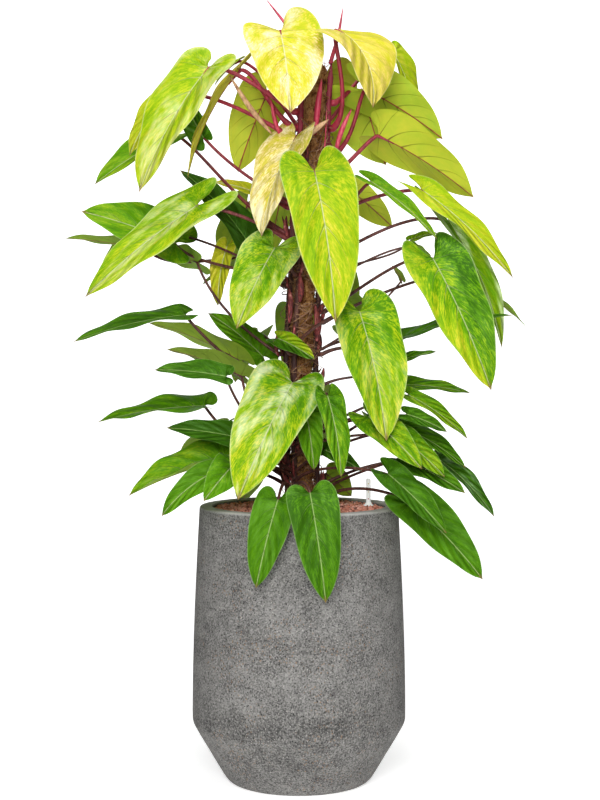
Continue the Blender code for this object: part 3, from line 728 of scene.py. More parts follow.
LEAVES = tuple(Leaf(*row) for row in (
    ("leaf_top_1", "left", 1.33, (-0.035, -0.05, 1.427), (-0.015, -0.15, 1.26), 0.42, -26, 0.82, 0.7),
    ("leaf_top_2", "right", 1.25, (0.07, -0.05, 1.429), (0.137, -0.09, 1.277), 0.54, 4, 0.8, 0.3),
    ("leaf_left_1", "left", 1.28, (-0.17, -0.04, 1.36), (-0.296, -0.1, 1.12), 0.27, -38, 0.58, 0.45),
    ("leaf_left_2", "left", 1.05, (-0.24, 0.11, 1.252), (-0.4, 0.075, 1.15), 0.3, -50, 0.4, 0.2),
    ("leaf_left_3", "left", 1.11, (-0.183, 0.02, 1.235), (-0.225, 0.09, 1.33), 0.24, 0, 0.26, 0.2),
    ("leaf_left_4", "back", 1.25, (-0.06, 0.06, 1.33), (-0.12, 0.08, 1.175), 0.38, 45, 0.6, 0.2),
    ("leaf_left_5", "left", 1.04, (-0.19, -0.06, 1.1), (-0.395, -0.12, 0.925), 0.17, -55, 0.54, 0.55),
    ("leaf_left_6", "left", 0.95, (-0.24, 0.06, 1.035), (-0.42, 0.03, 1.095), 0.33, -75, 0.4, 0.3),
    ("leaf_left_7", "left", 0.74, (-0.213, -0.06, 0.894), (-0.42, -0.1, 0.843), 0.24, -16, 0.26, 0.35),
    ("leaf_left_8", "left", 0.69, (-0.115, -0.02, 0.81), (-0.29, 0.015, 0.88), 0.26, 42, 0.46, 0.15),
    ("leaf_left_9", "left", 0.62, (-0.107, -0.08, 0.78), (-0.245, -0.12, 0.83), 0.27, 38, 0.14, 0.2),
    ("leaf_left_10", "back", 0.73, (-0.07, 0.04, 0.815), (-0.178, 0.06, 0.9), 0.3, -70, 0.34, 0.15),
    ("leaf_left_11", "left", 0.59, (-0.177, -0.06, 0.723), (-0.383, -0.04, 0.691), 0.27, -8, 0.32, 0.3),
    ("leaf_left_12", "left", 0.575, (-0.139, -0.08, 0.622), (-0.316, -0.12, 0.558), 0.34, -12, 0.4, 0.3),
    ("leaf_left_13", "front", 0.6, (-0.141, -0.15, 0.61), (-0.25, -0.18, 0.526), 0.23, -30, 0.3, 0.2),
    ("leaf_left_14", "back", 0.99, (-0.29, 0.09, 1.02), (-0.457, 0.06, 1.045), 0.18, 0, 0.24, 0.2),
    ("leaf_front_1", "front", 1.17, (-0.005, -0.045, 1.231), (-0.07, -0.08, 1.04), 0.35, 0, 0.92, 0.8),
    ("leaf_front_2", "front", 1.08, (0.028, -0.13, 1.159), (0.066, -0.21, 0.878), 0.26, 0, 0.58, 0.6),
    ("leaf_front_3", "front", 0.97, (-0.045, -0.08, 1.019), (-0.114, -0.15, 0.867), 0.34, -26, 0.5, 0.8),
    ("leaf_front_4", "front", 0.84, (0.112, -0.11, 0.9), (0.159, -0.18, 0.663), 0.31, 22, 0.5, 0.75),
    ("leaf_front_5", "front", 0.7, (-0.012, -0.098, 0.768), (-0.11, -0.205, 0.558), 0.31, -20, 0.53, 0.8),
    ("leaf_front_6", "right", 0.69, (0.052, -0.155, 0.745), (0.077, -0.17, 0.596), 0.2, 0, 0.34, 0.5),
    ("leaf_front_7", "front", 0.56, (-0.038, -0.2, 0.558), (-0.077, -0.23, 0.402), 0.26, -15, 0.26, 0.15),
    ("leaf_front_8", "front", 0.545, (0.02, -0.22, 0.573), (0.048, -0.24, 0.377), 0.26, 6, 0.23, 0.35),
    ("leaf_right_1", "right", 1.2, (0.127, 0.02, 1.328), (0.278, 0.04, 1.235), 0.38, -55, 0.52, 0.35),
    ("leaf_right_2", "right", 1.16, (0.151, 0.0, 1.238), (0.331, -0.04, 1.115), 0.31, -45, 0.61, 0.3),
    ("leaf_right_3", "right", 1.08, (0.23, -0.05, 1.13), (0.398, -0.1, 0.961), 0.17, 36, 0.6, 0.4),
    ("leaf_right_4", "right", 1.06, (0.133, -0.1, 1.14), (0.254, -0.14, 1.03), 0.15, 22, 0.4, 0.4),
    ("leaf_right_5", "right", 1.0, (0.286, 0.0, 1.075), (0.387, -0.02, 0.83), 0.2, 32, 0.44, 0.3),
    ("leaf_right_6", "right", 0.9, (0.248, -0.11, 0.998), (0.349, -0.18, 0.755), 0.25, 50, 0.42, 0.65),
    ("leaf_right_7", "right", 0.82, (0.191, -0.04, 0.85), (0.4, -0.08, 0.893), 0.2, 16, 0.24, 0.2),
    ("leaf_right_8", "right", 0.68, (0.186, -0.02, 0.762), (0.326, -0.04, 0.746), 0.22, 26, 0.36, 0.4),
    ("leaf_right_9", "right", 0.64, (0.203, -0.1, 0.745), (0.313, -0.12, 0.663), 0.21, 16, 0.42, 0.45),
    ("leaf_right_10", "front", 0.65, (0.128, -0.13, 0.706), (0.224, -0.18, 0.612), 0.27, 35, 0.42, 0.6),
    ("leaf_right_11", "right", 0.57, (0.265, -0.04, 0.621), (0.367, -0.08, 0.514), 0.27, 20, 0.22, 0.2),
    ("leaf_right_12", "right", 0.56, (0.184, -0.1, 0.627), (0.307, -0.14, 0.564), 0.27, 30, 0.26, 0.3),
    ("leaf_right_13", "front", 0.58, (0.163, -0.16, 0.602), (0.267, -0.2, 0.497), 0.22, 34, 0.22, 0.25),
    ("leaf_right_14", "right", 0.545, (0.207, -0.12, 0.547), (0.337, -0.16, 0.408), 0.25, 45, 0.25, 0.2),
    ("leaf_right_15", "right", 0.88, (0.3, 0.08, 0.98), (0.446, 0.06, 0.87), 0.13, 0, 0.28, 0.2),
    ("leaf_back_1", "back", 1.29, (0.05, 0.1, 1.37), (0.06, 0.22, 1.2), 0.33, 0, 0.7, 0.3),
    ("leaf_back_2", "back", 1.13, (-0.02, 0.15, 1.19), (-0.06, 0.27, 1.02), 0.3, 0, 0.52, 0.5),
    ("leaf_back_3", "back", 1.0, (0.06, 0.12, 1.0), (0.1, 0.22, 0.85), 0.28, 0, 0.4, 0.6),
    ("leaf_back_4", "back", 0.84, (-0.005, 0.13, 0.9), (0.0, 0.245, 0.72), 0.24, 0, 0.38, 0.6),
    ("leaf_back_5", "back", 0.8, (0.11, 0.12, 0.85), (0.2, 0.23, 0.7), 0.28, 0, 0.3, 0.5),
    ("leaf_back_6", "back", 0.58, (-0.06, 0.15, 0.64), (-0.12, 0.26, 0.5), 0.28, 0, 0.22, 0.2),
))

# %% Leaves too small or too hidden for the frame
SMALL_LEAVES = tuple(Leaf(*row) for row in (
    ("small_left_1", "left", 1.25, (-0.113, 0.0, 1.363), (-0.21, -0.04, 1.152), 0.13, -6, 0.76, 0.2),
    ("small_left_2", "left", 1.3, (-0.115, 0.03, 1.385), (-0.165, 0.04, 1.335), 0.35, -20, 0.55, 0.2),
    ("small_left_3", "left", 0.96, (-0.345, 0.15, 1.055), (-0.395, 0.135, 0.975), 0.17, -60, 0.52, 0.2),
    ("small_left_4", "left", 1.0, (-0.095, 0.02, 1.03), (-0.23, 0.03, 1.175), 0.3, -60, 0.1, 0.15),
    ("small_left_6", "left", 0.82, (-0.195, 0.04, 0.998), (-0.275, 0.16, 1.012), 0.26, 80, 0.36, 0.2),
    ("small_left_7", "back", 0.94, (-0.1, 0.07, 1.0), (-0.19, 0.08, 0.955), 0.3, 0, 0.1, 0.1),
    ("small_left_8", "left", 0.98, (-0.14, 0.06, 1.03), (-0.157, 0.04, 0.912), 0.24, -60, 0.7, 0.3),
    ("small_left_9", "left", 0.64, (-0.133, -0.15, 0.78), (-0.265, -0.15, 0.792), 0.26, -10, 0.2, 0.2),
    ("small_left_10", "back", 0.69, (-0.05, 0.06, 0.73), (-0.1, 0.07, 0.68), 0.3, 0, 0.5, 0.3),
    ("small_left_11", "left", 0.63, (-0.098, -0.1, 0.662), (-0.245, -0.13, 0.685), 0.22, -30, 0.16, 0.2),
    ("small_left_12", "front", 0.59, (-0.117, -0.138, 0.62), (-0.172, -0.206, 0.556), 0.33, -46, 0.32, 0.25),
    ("small_left_13", "left", 0.61, (-0.11, 0.015, 0.65), (-0.165, 0.01, 0.615), 0.3, 0, 0.22, 0.2),
    ("small_left_14", "left", 1.04, (-0.095, 0.085, 1.14), (-0.168, 0.1, 1.158), 0.26, -60, 0.7, 0.3),
    ("small_left_15", "left", 0.59, (-0.064, -0.072, 0.646), (-0.118, -0.078, 0.62), 0.3, -60, 0.4, 0.2),
    ("small_left_16", "left", 1.23, (-0.255, 0.035, 1.32), (-0.325, 0.015, 1.2), 0.26, -50, 0.62, 0.2),
    ("small_front_1", "front", 0.82, (-0.04, -0.05, 0.85), (0.03, -0.08, 0.81), 0.3, 0, 0.38, 0.4),
    ("small_front_2", "front", 0.66, (0.013, -0.09, 0.712), (0.028, -0.12, 0.605), 0.26, 0, 0.34, 0.25),
    ("small_front_3", "front", 0.6, (0.048, -0.06, 0.64), (0.118, -0.07, 0.6), 0.26, 25, 0.2, 0.25),
    ("small_right_1", "right", 0.56, (0.052, 0.022, 0.59), (0.102, 0.02, 0.545), 0.5, -60, 0.46, 0.15),
    ("small_right_2", "back", 1.08, (0.103, 0.06, 1.137), (0.182, 0.06, 1.067), 0.34, -60, 0.62, 0.15),
    ("small_right_3", "right", 0.67, (0.197, -0.15, 0.711), (0.272, -0.15, 0.678), 0.27, 20, 0.24, 0.4),
    ("small_right_4", "right", 0.63, (0.198, -0.07, 0.682), (0.313, -0.08, 0.607), 0.27, 20, 0.28, 0.3),
    ("small_right_5", "front", 0.63, (0.178, -0.125, 0.672), (0.268, -0.15, 0.595), 0.27, 30, 0.42, 0.5),
    ("small_right_6", "back", 1.23, (0.124, 0.07, 1.333), (0.17, 0.09, 1.19), 0.55, -70, 0.54, 0.15),
    ("small_right_7", "right", 0.76, (0.175, -0.02, 0.8), (0.262, -0.03, 0.825), 0.24, 25, 0.32, 0.3),
    ("small_right_8", "right", 0.955, (0.222, -0.028, 1.026), (0.255, -0.015, 0.988), 0.5, 0, 0.36, 0.3),
    ("small_right_9", "right", 1.3, (0.182, 0.085, 1.412), (0.222, 0.085, 1.3), 0.4, 50, 0.6, 0.2),
    ("small_right_10", "right", 0.97, (0.215, 0.02, 1.04), (0.266, 0.01, 1.052), 0.3, 50, 0.44, 0.2),
    ("small_right_11", "right", 0.83, (0.2, 0.04, 0.962), (0.18, 0.045, 0.992), 0.3, 30, 0.16, 0.1),
    ("small_back_1", "back", 0.7, (0.04, 0.13, 0.74), (0.06, 0.24, 0.61), 0.28, 0, 0.28, 0.4),
    ("small_back_2", "left", 0.83, (-0.08, 0.1, 0.86), (-0.13, 0.2, 0.76), 0.27, 0, 0.3, 0.4),
    ("small_back_3", "back", 1.09, (0.05, 0.12, 1.18), (0.08, 0.22, 1.03), 0.3, 0, 0.48, 0.5),
    ("small_back_4", "left", 1.1, (-0.1, 0.12, 1.12), (-0.15, 0.21, 0.98), 0.28, 0, 0.46, 0.5),
    ("small_back_5", "right", 0.64, (0.15, 0.1, 0.69), (0.24, 0.16, 0.59), 0.28, 0, 0.24, 0.3),
    ("small_back_6", "left", 0.64, (-0.15, 0.08, 0.68), (-0.25, 0.14, 0.59), 0.28, 0, 0.24, 0.3),
    ("small_back_7", "right", 0.9, (0.09, 0.13, 0.93), (0.13, 0.22, 0.8), 0.28, 0, 0.34, 0.5),
))

# %% [markdown]
# ### The blade
# The outline of half a blade is a short table: how far along the midrib a point lies, and how far
# out. Every outline point has a side vein that runs to it, and the veins of the lobes all start at
# the joint. A grid is stretched over these veins. Its one direction follows them and the other
# counts them, so the pattern in the leaf can flow along its veins as it does in a real one.

# %% Outline
# Share of the veins counted from the notch, place along the blade, and width there.
OUTLINE = (
    (0.0, -0.105, 0.17), (0.05, -0.19, 0.34), (0.1, -0.222, 0.51), (0.15, -0.2, 0.68), (0.21, -0.12, 0.82),
    (0.28, -0.01, 0.9), (0.36, 0.12, 0.92), (0.45, 0.27, 0.88), (0.55, 0.43, 0.82), (0.65, 0.58, 0.72),
    (0.75, 0.72, 0.57), (0.85, 0.845, 0.38), (0.93, 0.935, 0.18), (0.97, 0.97, 0.06), (1.0, 1.0, 0.0),
)
JOINT_VEINS = 0.24
VEIN_SLANT = 1.55
VEIN_SWEEP = 0.13
SWEEP_START, SWEEP_FULL = 0.2, 0.55
SIDE_VEINS = 8.0
BLADE_THICKNESS = 0.0009
RIB_HEIGHT = 0.0012
VEIN_GROOVE = 0.0006
LEVEL_BEND = 14
HANGING_BEND = 30
BLADE_FOLD = 18
# Degrees of bend and of fold for the leaves that keep neither rule.
ARCHED = {"leaf_top_1": 30, "leaf_top_2": 85, "leaf_right_1": 35, "leaf_left_13": 60, "small_left_12": 60}
FOLDED_UP = {"leaf_left_1": 26, "leaf_left_2": 26, "leaf_left_12": 44, "leaf_right_4": 30, "small_left_1": 34}
# How strong a leaf's painted sheen is, whitish patches that stand in for highlights, and how much greener its
# left half is than its right.
FAINT_PAINTED_SHEEN = 0.02
PAINTED_SHEEN = {
    "leaf_front_1": 0.42, "leaf_front_3": 0.2, "leaf_front_4": 0.14, "leaf_front_5": 0.62, "leaf_left_1": 0.3,
    "leaf_left_5": 0.34, "leaf_right_5": 0.55, "leaf_right_11": 0.3, "leaf_top_1": 0.34,
}
HALF_GREEN = {"leaf_right_6": 0.24, "leaf_front_1": 0.05, "small_front_1": -0.3}
# Length of the left and the right lobe, where it isn't left to chance.
LOBE_LENGTH = {
    "leaf_front_3": (1.05, 1.05), "leaf_front_4": (0.8, 0.8), "leaf_front_6": (0.7, 0.7),
    "leaf_front_7": (0.75, 0.75), "leaf_front_8": (0.5, 0.5), "leaf_left_5": (1.2, 1.2),
    "leaf_left_7": (0.45, 0.45), "leaf_left_11": (0.45, 0.45), "leaf_left_13": (0.5, 0.5),
    "leaf_right_1": (1.8, 1.9), "leaf_right_5": (1.6, 1.6), "leaf_right_8": (0.5, 0.5),
    "leaf_right_9": (0.5, 0.5), "leaf_top_1": (2.4, 0.5), "leaf_top_2": (0.5, 0.5),
    "small_left_9": (0.5, 0.5), "small_left_12": (0.35, 0.35),
}


def outline(count):
    """Place and width of the outline where that share of the veins ends."""
    last = len(OUTLINE) - 1
    index = next(i for i in range(last) if count <= OUTLINE[i + 1][0] or i == last - 1)
    before, after = OUTLINE[index:index + 2]
    left = OUTLINE[max(index - 1, 0)]
    right = OUTLINE[min(index + 2, last)]
    span = after[0] - before[0]
    share = (count - before[0]) / span
    square = share ** 2
    cube = share ** 3
    values = []
    for axis in (1, 2):
        slope_in = (after[axis] - left[axis]) / (after[0] - left[0]) * span
        slope_out = (right[axis] - before[axis]) / (right[0] - before[0]) * span
        first = (2 * cube - 3 * square + 1) * before[axis] + (cube - 2 * square + share) * slope_in
        second = (3 * square - 2 * cube) * after[axis] + (cube - square) * slope_out
        values.append(first + second)
    return values


def vein_point(count, out, width):
    """Place along the blade and distance from the midrib, out along one side vein."""
    start = max(0.0, (count - JOINT_VEINS) / (1 - JOINT_VEINS)) ** VEIN_SLANT
    end, half = outline(count)
    half *= width
    rest = 1 - out
    along = rest * rest * start + 2 * out * rest * (start + 0.2 * (end - start)) + out * out * end
    return along, 2 * out * rest * 0.55 * half + out * out * half


# %% Blade in space
YOUNG_FROM_Z = 0.98
YOUNG_SPAN = 0.22


def youth(z):
    """How crimson a leaf at this height is."""
    return min(max((z - YOUNG_FROM_Z) / YOUNG_SPAN, 0.0), 1.0)


def leaf_axes(leaf):
    """Chord, side and upper normal of a blade, and the chord's length."""
    joint = Vector(leaf.joint)
    chord = Vector(leaf.tip) - joint
    length = chord.length
    chord.normalize()
    middle = (joint + Vector(leaf.tip)) / 2
    outward = Vector((middle.x - pole_axis(middle.z).x, middle.y, 0.0)).normalized()
    normal = outward * 0.8 + UP
    normal = (normal - chord * normal.dot(chord)).normalized()
    side = chord.cross(normal)
    roll = math.radians(leaf.roll)
    normal = normal * math.cos(roll) + side * math.sin(roll)
    return chord, chord.cross(normal), normal, length


class Blade:
    """Where every point of one leaf's blade lies."""

    def __init__(self, leaf, chance):
        self.leaf = leaf
        self.chord, self.side, self.normal, length = leaf_axes(leaf)
        droop = abs(self.chord.z)
        self.bend = math.radians(ARCHED.get(leaf.name, LEVEL_BEND + (HANGING_BEND - LEVEL_BEND) * droop))
        self.fold = math.radians(FOLDED_UP.get(leaf.name, BLADE_FOLD + chance.uniform(-5, 5)))
        self.arc = length * (self.bend / 2) / math.sin(self.bend / 2)
        self.waves = chance.uniform(2.2, 3.4)
        self.phase = (chance.uniform(0, 6), chance.uniform(0, 6))
        self.wave = self.arc * chance.uniform(0.012, 0.026)
        self.quilt = self.arc * 0.0022
        self.bias = HALF_GREEN.get(leaf.name, chance.uniform(-0.04, 0.04))
        self.lobes = (chance.uniform(0.92, 1.08), chance.uniform(0.92, 1.08))
        even = chance.uniform(0.7, 1.0)
        left, right = LOBE_LENGTH.get(leaf.name, (even, even))
        self.lobe_length = (left * chance.uniform(0.88, 1.12), right * chance.uniform(0.88, 1.12))
        self.seed = chance.uniform(0, 20)
        self.young = youth(leaf.node_z)
        self.look = Vector((leaf.tone, leaf.marble, self.young))
        self.bloom = Vector((PAINTED_SHEEN.get(leaf.name, FAINT_PAINTED_SHEEN), 0.0, 0.0))

    def relief(self, count, out, right):
        """How far the upper side stands up: a rippled margin, quilted veins and their grooves."""
        around = 2 * math.pi
        wave = math.sin(around * self.waves * count + self.phase[right])
        ripple = self.wave * out ** 2 * (1 - count ** 4) * wave
        vein = count - out * interpolate(((SWEEP_START, 0.0), (SWEEP_FULL, VEIN_SWEEP)), count)
        ripple += self.quilt * math.sin(around * SIDE_VEINS * vein) * out * (1 - out) * 4
        near = (vein * SIDE_VEINS) % 1.0 - 0.25
        return ripple - VEIN_GROOVE * math.exp(-(near / 0.1) ** 2) * (1 - out) * min(1.0, out * 8)

    def thickness(self, count, along, out):
        """How far the under side lies below the upper one, with the rib down its middle."""
        start = min(1.0, count * 14) if out > 0.02 else 1.0
        rib = RIB_HEIGHT * (1 - along) if out < 0.001 else 0.0
        return BLADE_THICKNESS * (1 - out ** 8) * start * min(1.0, (1 - count) * 20) + rib

    def point(self, count, across, under):
        """A point of the upper or under side; across is -1 to 1 from margin to margin."""
        out = abs(across)
        right = across > 0
        along, half = vein_point(count, out, self.leaf.width * self.lobes[right])
        if along < 0:
            along *= self.lobe_length[right]
        half *= self.arc
        radius = self.arc / self.bend
        angle = self.bend / 2 - along * self.bend
        lift = half * math.sin(self.fold) * (1 - 0.35 * out * out) + self.relief(count, out, right)
        if under:
            lift -= self.thickness(count, along, out)
        forward = radius * (math.sin(self.bend / 2) - math.sin(angle)) + math.sin(angle) * lift
        rise = radius * (math.cos(angle) - math.cos(self.bend / 2)) + math.cos(angle) * lift
        sideways = half * math.cos(self.fold) * (1 if right else -1)
        place = Vector(self.leaf.joint) + self.chord * forward + self.normal * rise + self.side * sideways
        return place, along, half


# %% [markdown]
# ### Leaf finishes
# Seen from above, a leaf is a ramp from deep green through lime and yellow to cream, and the marbling
# decides where on the ramp each spot is. Its noise is stretched along the veins. Whitish patches on some
# leaves are a painted sheen that stands in for highlights. The under side is paler, partly by its own
# colour and partly as painted light for light shining through the leaf, with reddish veins that stand
# out. The stalk is crimson on young leaves and turns to maroon.

# %% Upper side
LEAF_RAMP = (
    (0.0, (0.02, 0.052, 0.003)), (0.18, (0.034, 0.118, 0.003)), (0.36, (0.096, 0.27, 0.003)),
    (0.54, (0.305, 0.442, 0.006)), (0.72, (0.54, 0.51, 0.02)), (0.88, (0.74, 0.58, 0.125)),
    (1.0, (0.92, 0.8, 0.42)),
)


def swept(finish, count, out):
    """The count of the side vein through a point, since veins sweep to the tip as they go out."""
    return count - out * finish.ease(SWEEP_START, SWEEP_FULL, count) * VEIN_SWEEP


def vein_lines(finish, vein, out, width):
    """1 on the side veins, which thin out towards the margin, and 0 between them."""
    near = abs(finish.math("FRACT", vein * SIDE_VEINS) - 0.25)
    return finish.ease(1.0, 0.2, near * (0.16 + out) / (width * (1.15 - out)))


def midrib(finish, from_rib, along, low, high):
    """1 on the midrib beyond the joint; low and high are its edges in millimetres."""
    return finish.ease(low, high, from_rib) * finish.ease(-0.02, 0.01, along)


def marbled_leaf():
    leaf = Finish("marbled_leaf")
    count, across, seed = leaf.parts(leaf.attribute("vein"))
    tone, marble, _ = leaf.parts(leaf.attribute("look"))
    from_rib, along, bias = leaf.parts(leaf.attribute("span"))
    sheen_strength, _, _ = leaf.parts(leaf.attribute("bloom"))
    out = abs(across)
    vein = swept(leaf, count, out)
    fleck = leaf.cloud(leaf.vector(vein * 100.0, across * 9.5, seed * 9.0), 1.0, 3.0, 0.7)
    splash = leaf.cloud(leaf.vector(vein * 10.0, across * 3.0, seed * 5.0 + 3.0), 1.0, 3.0, 0.6)
    patch = leaf.cloud(leaf.vector(vein * 3.4, across * 1.5, seed * 3.0 + 8.0), 1.0)
    yellowed = leaf.ease(0.4, 0.64, fleck) * leaf.ease(0.28, 0.62, splash)
    shade = tone + (yellowed - 0.35) * marble * 0.32 + (fleck - 0.5) * (marble * 0.3 + 0.06)
    shade = shade + (splash - 0.5) * 0.22 + (patch - 0.5) * (0.12 + marble * 0.4)
    shade = shade + (leaf.ease(-0.5, 0.5, across) - 0.5) * bias + (along - 0.5) * marble * 0.16
    colour = leaf.ramp(shade, LEAF_RAMP)
    lines = vein_lines(leaf, vein, out, 0.015) * (1.0 - out * 0.7)
    pale = leaf.mix(tone, (0.06, 0.28, 0.01), (0.86, 0.8, 0.46))
    colour = leaf.mix(lines * 0.36, colour, pale)
    rib = midrib(leaf, from_rib, along, 1.7, 0.7)
    colour = leaf.mix(rib * 0.76, colour, leaf.mix(tone, (0.11, 0.3, 0.02), (0.86, 0.8, 0.48)))
    colour = leaf.mix(leaf.ease(0.955, 0.99, out) * 0.45, colour, pale)
    colour = leaf.mix(leaf.ease(0.955, 1.0, count) * 0.8, colour, (0.42, 0.2, 0.07))
    # Painted sheen: whitish patches mixed into the colour stand in for highlights of the soft lights on the
    # waxy leaf; the same patches are made a little less rough.
    sheen = leaf.ease(0.42, 0.66, patch) * leaf.ease(0.34, 0.62, splash)
    colour = leaf.mix(sheen * sheen_strength, colour, leaf.mix(tone, (0.5, 0.82, 0.48), (0.96, 0.9, 0.7)))
    quilt = leaf.math("SINE", vein * SIDE_VEINS * (2 * math.pi)) * leaf.ease(0.0, 0.3, out)
    height = quilt * 0.36 - lines * 0.6 + fleck * 0.1 - rib * 0.3
    return leaf.coat(colour, 0.5 - sheen * 0.22 + fleck * 0.08, height, 0.003, Specular_IOR_Level=0.06)


# %% Under side
def pale_underside():
    leaf = Finish("leaf_underside")
    count, across, seed = leaf.parts(leaf.attribute("vein"))
    tone, marble, young = leaf.parts(leaf.attribute("look"))
    from_rib, along, _ = leaf.parts(leaf.attribute("span"))
    out = abs(across)
    splash = leaf.cloud(leaf.vector(count * 12.0, across * 3.0, seed * 5.0 + 3.0), 1.0, 4.0, 0.6)
    # Paler than the upper side: partly the under side's own colour, and partly painted light that brightens
    # it to stand in for light shining through the thin leaf.
    shade = tone * 0.9 + 0.02 + (splash - 0.5) * (marble * 0.6 + 0.12)
    colour = leaf.mix(0.3, leaf.ramp(shade + young * 0.08, LEAF_RAMP), (0.44, 0.52, 0.07))
    lines = vein_lines(leaf, swept(leaf, count, out), out, 0.018)
    colour = leaf.mix(lines * 0.45, colour, (0.11, 0.19, 0.02))
    near_joint = leaf.ease(0.75, 0.0, out + abs(along) * 1.2)
    red = leaf.mix(young, (0.16, 0.09, 0.03), (0.2, 0.03, 0.026))
    colour = leaf.mix(lines * near_joint * 0.85, colour, red)
    rib = midrib(leaf, from_rib, along, 1.8, 0.9)
    colour = leaf.mix(rib * 0.9, colour, leaf.mix(young, (0.23, 0.15, 0.05), (0.3, 0.025, 0.035)))
    height = lines * 0.6 + splash * 0.2
    return leaf.coat(colour, 0.62 + splash * 0.1, height, 0.0018, Specular_IOR_Level=0.16)


# %% Stalk
def stalk_finish():
    stalk = Finish("leaf_stalk")
    _, _, young = stalk.parts(stalk.attribute("look"))
    streak = stalk.streaks(0.3, 180.0, 3.0, 0.6)
    old = stalk.ramp(streak, ((0.35, (0.045, 0.014, 0.012)), (0.65, (0.13, 0.045, 0.032))))
    fresh = stalk.ramp(streak, ((0.35, (0.2, 0.012, 0.024)), (0.65, (0.4, 0.03, 0.06))))
    colour = stalk.mix(young, old, fresh)
    return stalk.coat(colour, 0.4 + streak * 0.2, streak, 0.0005, Specular_IOR_Level=0.35)


LEAF_FINISHES = [marbled_leaf(), pale_underside(), stalk_finish()]

# %% [markdown]
# ### Growing a leaf
# Each blade is two grids, its upper and its under side, that meet at the margin, so that it is thin
# at the edge and thicker at the midrib as leaves are. A modifier could thicken one grid, but then
# the margin would be blunt. The stalk is swept from the skin of its stem to just under the joint.

# %% One leaf
BLADE_COLUMNS = 22
BLADE_ROWS = 44
COLUMN_CROWDING = 1.25
MARGIN_WELD = 0.000004
STALK_RADIUS = 0.0032
STALK_STEPS = 22
UNDER_SLOT, STALK_SLOT = 1, 2


def draw_side(bm, blade, layers, under):
    """One side of a blade, as a grid laid over the veins and crowded towards the midrib."""
    made = bmesh.ops.create_grid(bm, x_segments=BLADE_COLUMNS, y_segments=BLADE_ROWS, size=1.0)
    for vert in made["verts"]:
        across = math.copysign(abs(vert.co.x) ** COLUMN_CROWDING, vert.co.x)
        count = (vert.co.y + 1) / 2
        vert.co, along, half = blade.point(count, across, under)
        vert[layers["vein"]] = Vector((count, across, blade.seed))
        vert[layers["look"]] = blade.look
        vert[layers["span"]] = Vector((half * 1000, along, blade.bias))
        vert[layers["bloom"]] = blade.bloom
    if under:
        faces = list({face for vert in made["verts"] for face in vert.link_faces})
        for face in faces:
            face.material_index = UNDER_SLOT
        bmesh.ops.reverse_faces(bm, faces=faces)


def stalk_line(leaf, blade):
    """Centre line of a stalk, from its stem's skin to under the blade's joint."""
    joint = Vector(leaf.joint)
    centre = stem_centre(leaf.stem, leaf.node_z)
    away = (centre - pole_axis(leaf.node_z)).normalized()
    heading = Vector((joint.x - centre.x, joint.y - centre.y, 0.0)).normalized()
    start_way = (away * 0.7 + heading).normalized()
    root = centre + start_way * (STEM_RADIUS * 0.8)
    neck = root + start_way * 0.008
    span = (joint - neck).length
    below = joint - blade.normal * (STALK_RADIUS * 0.8)
    first = neck + (start_way + UP * 0.6) * span * 0.3
    hang = max(0.0, -blade.chord.z)
    second = below + (neck - below) * 0.22 + UP * span * (0.3 * hang - 0.09) - blade.normal * span * 0.06
    line = [root]
    line += [bezier(neck, first, second, below, step / STALK_STEPS) for step in range(STALK_STEPS + 1)]
    for share in (0.05, 0.1, 0.16):
        count = JOINT_VEINS + (1 - JOINT_VEINS) * share ** (1 / VEIN_SLANT)
        under_rib, _, _ = blade.point(count, 0.0, True)
        line.append(under_rib - blade.normal * 0.0002)
    return line


def stalk_radii(blade, steps):
    """Thicker on young and on large leaves, widest at the stem, and run out under the blade."""
    thick = STALK_RADIUS * (1.0 + 0.4 * blade.young) * min(1.0, 0.6 + blade.arc * 2.0)
    radii = []
    for step in range(steps):
        share = step / (steps - 1)
        base = (0.0012 + 0.0018 * blade.young) * math.exp(-(share / 0.14) ** 2)
        radii.append(thick * (1.0 - 0.15 * share) + base)
    radii[-3:] = [thick * 0.6, thick * 0.4, thick * 0.2]
    return radii


def grow_leaf(leaf, number):
    """One leaf as a closed piece: blade, under side and stalk."""
    blade = Blade(leaf, random.Random(100 + number))
    bm = bmesh.new()
    layers = {name: bm.verts.layers.float_vector.new(name) for name in ("vein", "look", "span", "bloom")}
    draw_side(bm, blade, layers, under=False)
    draw_side(bm, blade, layers, under=True)
    bmesh.ops.remove_doubles(bm, verts=bm.verts, dist=MARGIN_WELD)
    for edge in bm.edges:
        if len({face.material_index for face in edge.link_faces}) > 1:
            edge.smooth = False
    line = stalk_line(leaf, blade)
    stalk = sweep(bm, line, stalk_radii(blade, len(line)), 10)
    for vert in stalk:
        vert[layers["look"]] = blade.look
    for face in {face for vert in stalk for face in vert.link_faces}:
        face.material_index = STALK_SLOT
    nodes = [leaf.name] if leaf.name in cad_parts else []
    return finish_piece(bm, f"{leaf.name}_grown", LEAF_FINISHES, nodes)


# %% All the leaves
leaves = [grow_leaf(leaf, number) for number, leaf in enumerate(LEAVES + SMALL_LEAVES)]
print("leaves:", len(leaves), "faces each:", len(leaves[0].data.polygons))

# %% [markdown]
# ## Spears and sheaths
# A new leaf comes up rolled in a crimson spear, and leaves a sheath behind that dries to tan paper.
# Both are spindles swept along a bent line. The dried ones could be modelled as curled sheets, but
# at their size of a few centimetres a thin spindle with a streaky finish reads the same.

# %% Spears
SPEAR = streaked_finish(
    "crimson_spear", Streaks(0.12, 420.0, 3.0, 0.6, 0.6), Streaks(1.0, 45.0, 2.0, 0.5, 0.4),
    ((0.3, (0.25, 0.01, 0.03)), (0.5, (0.52, 0.03, 0.08)), (0.72, (0.78, 0.18, 0.23))),
    (0.36, 0.2), 0.0006)
SPEAR_RINGS = 26
SPEAR_RADIUS = 0.0036
SPEAR_SEAT = 0.0003


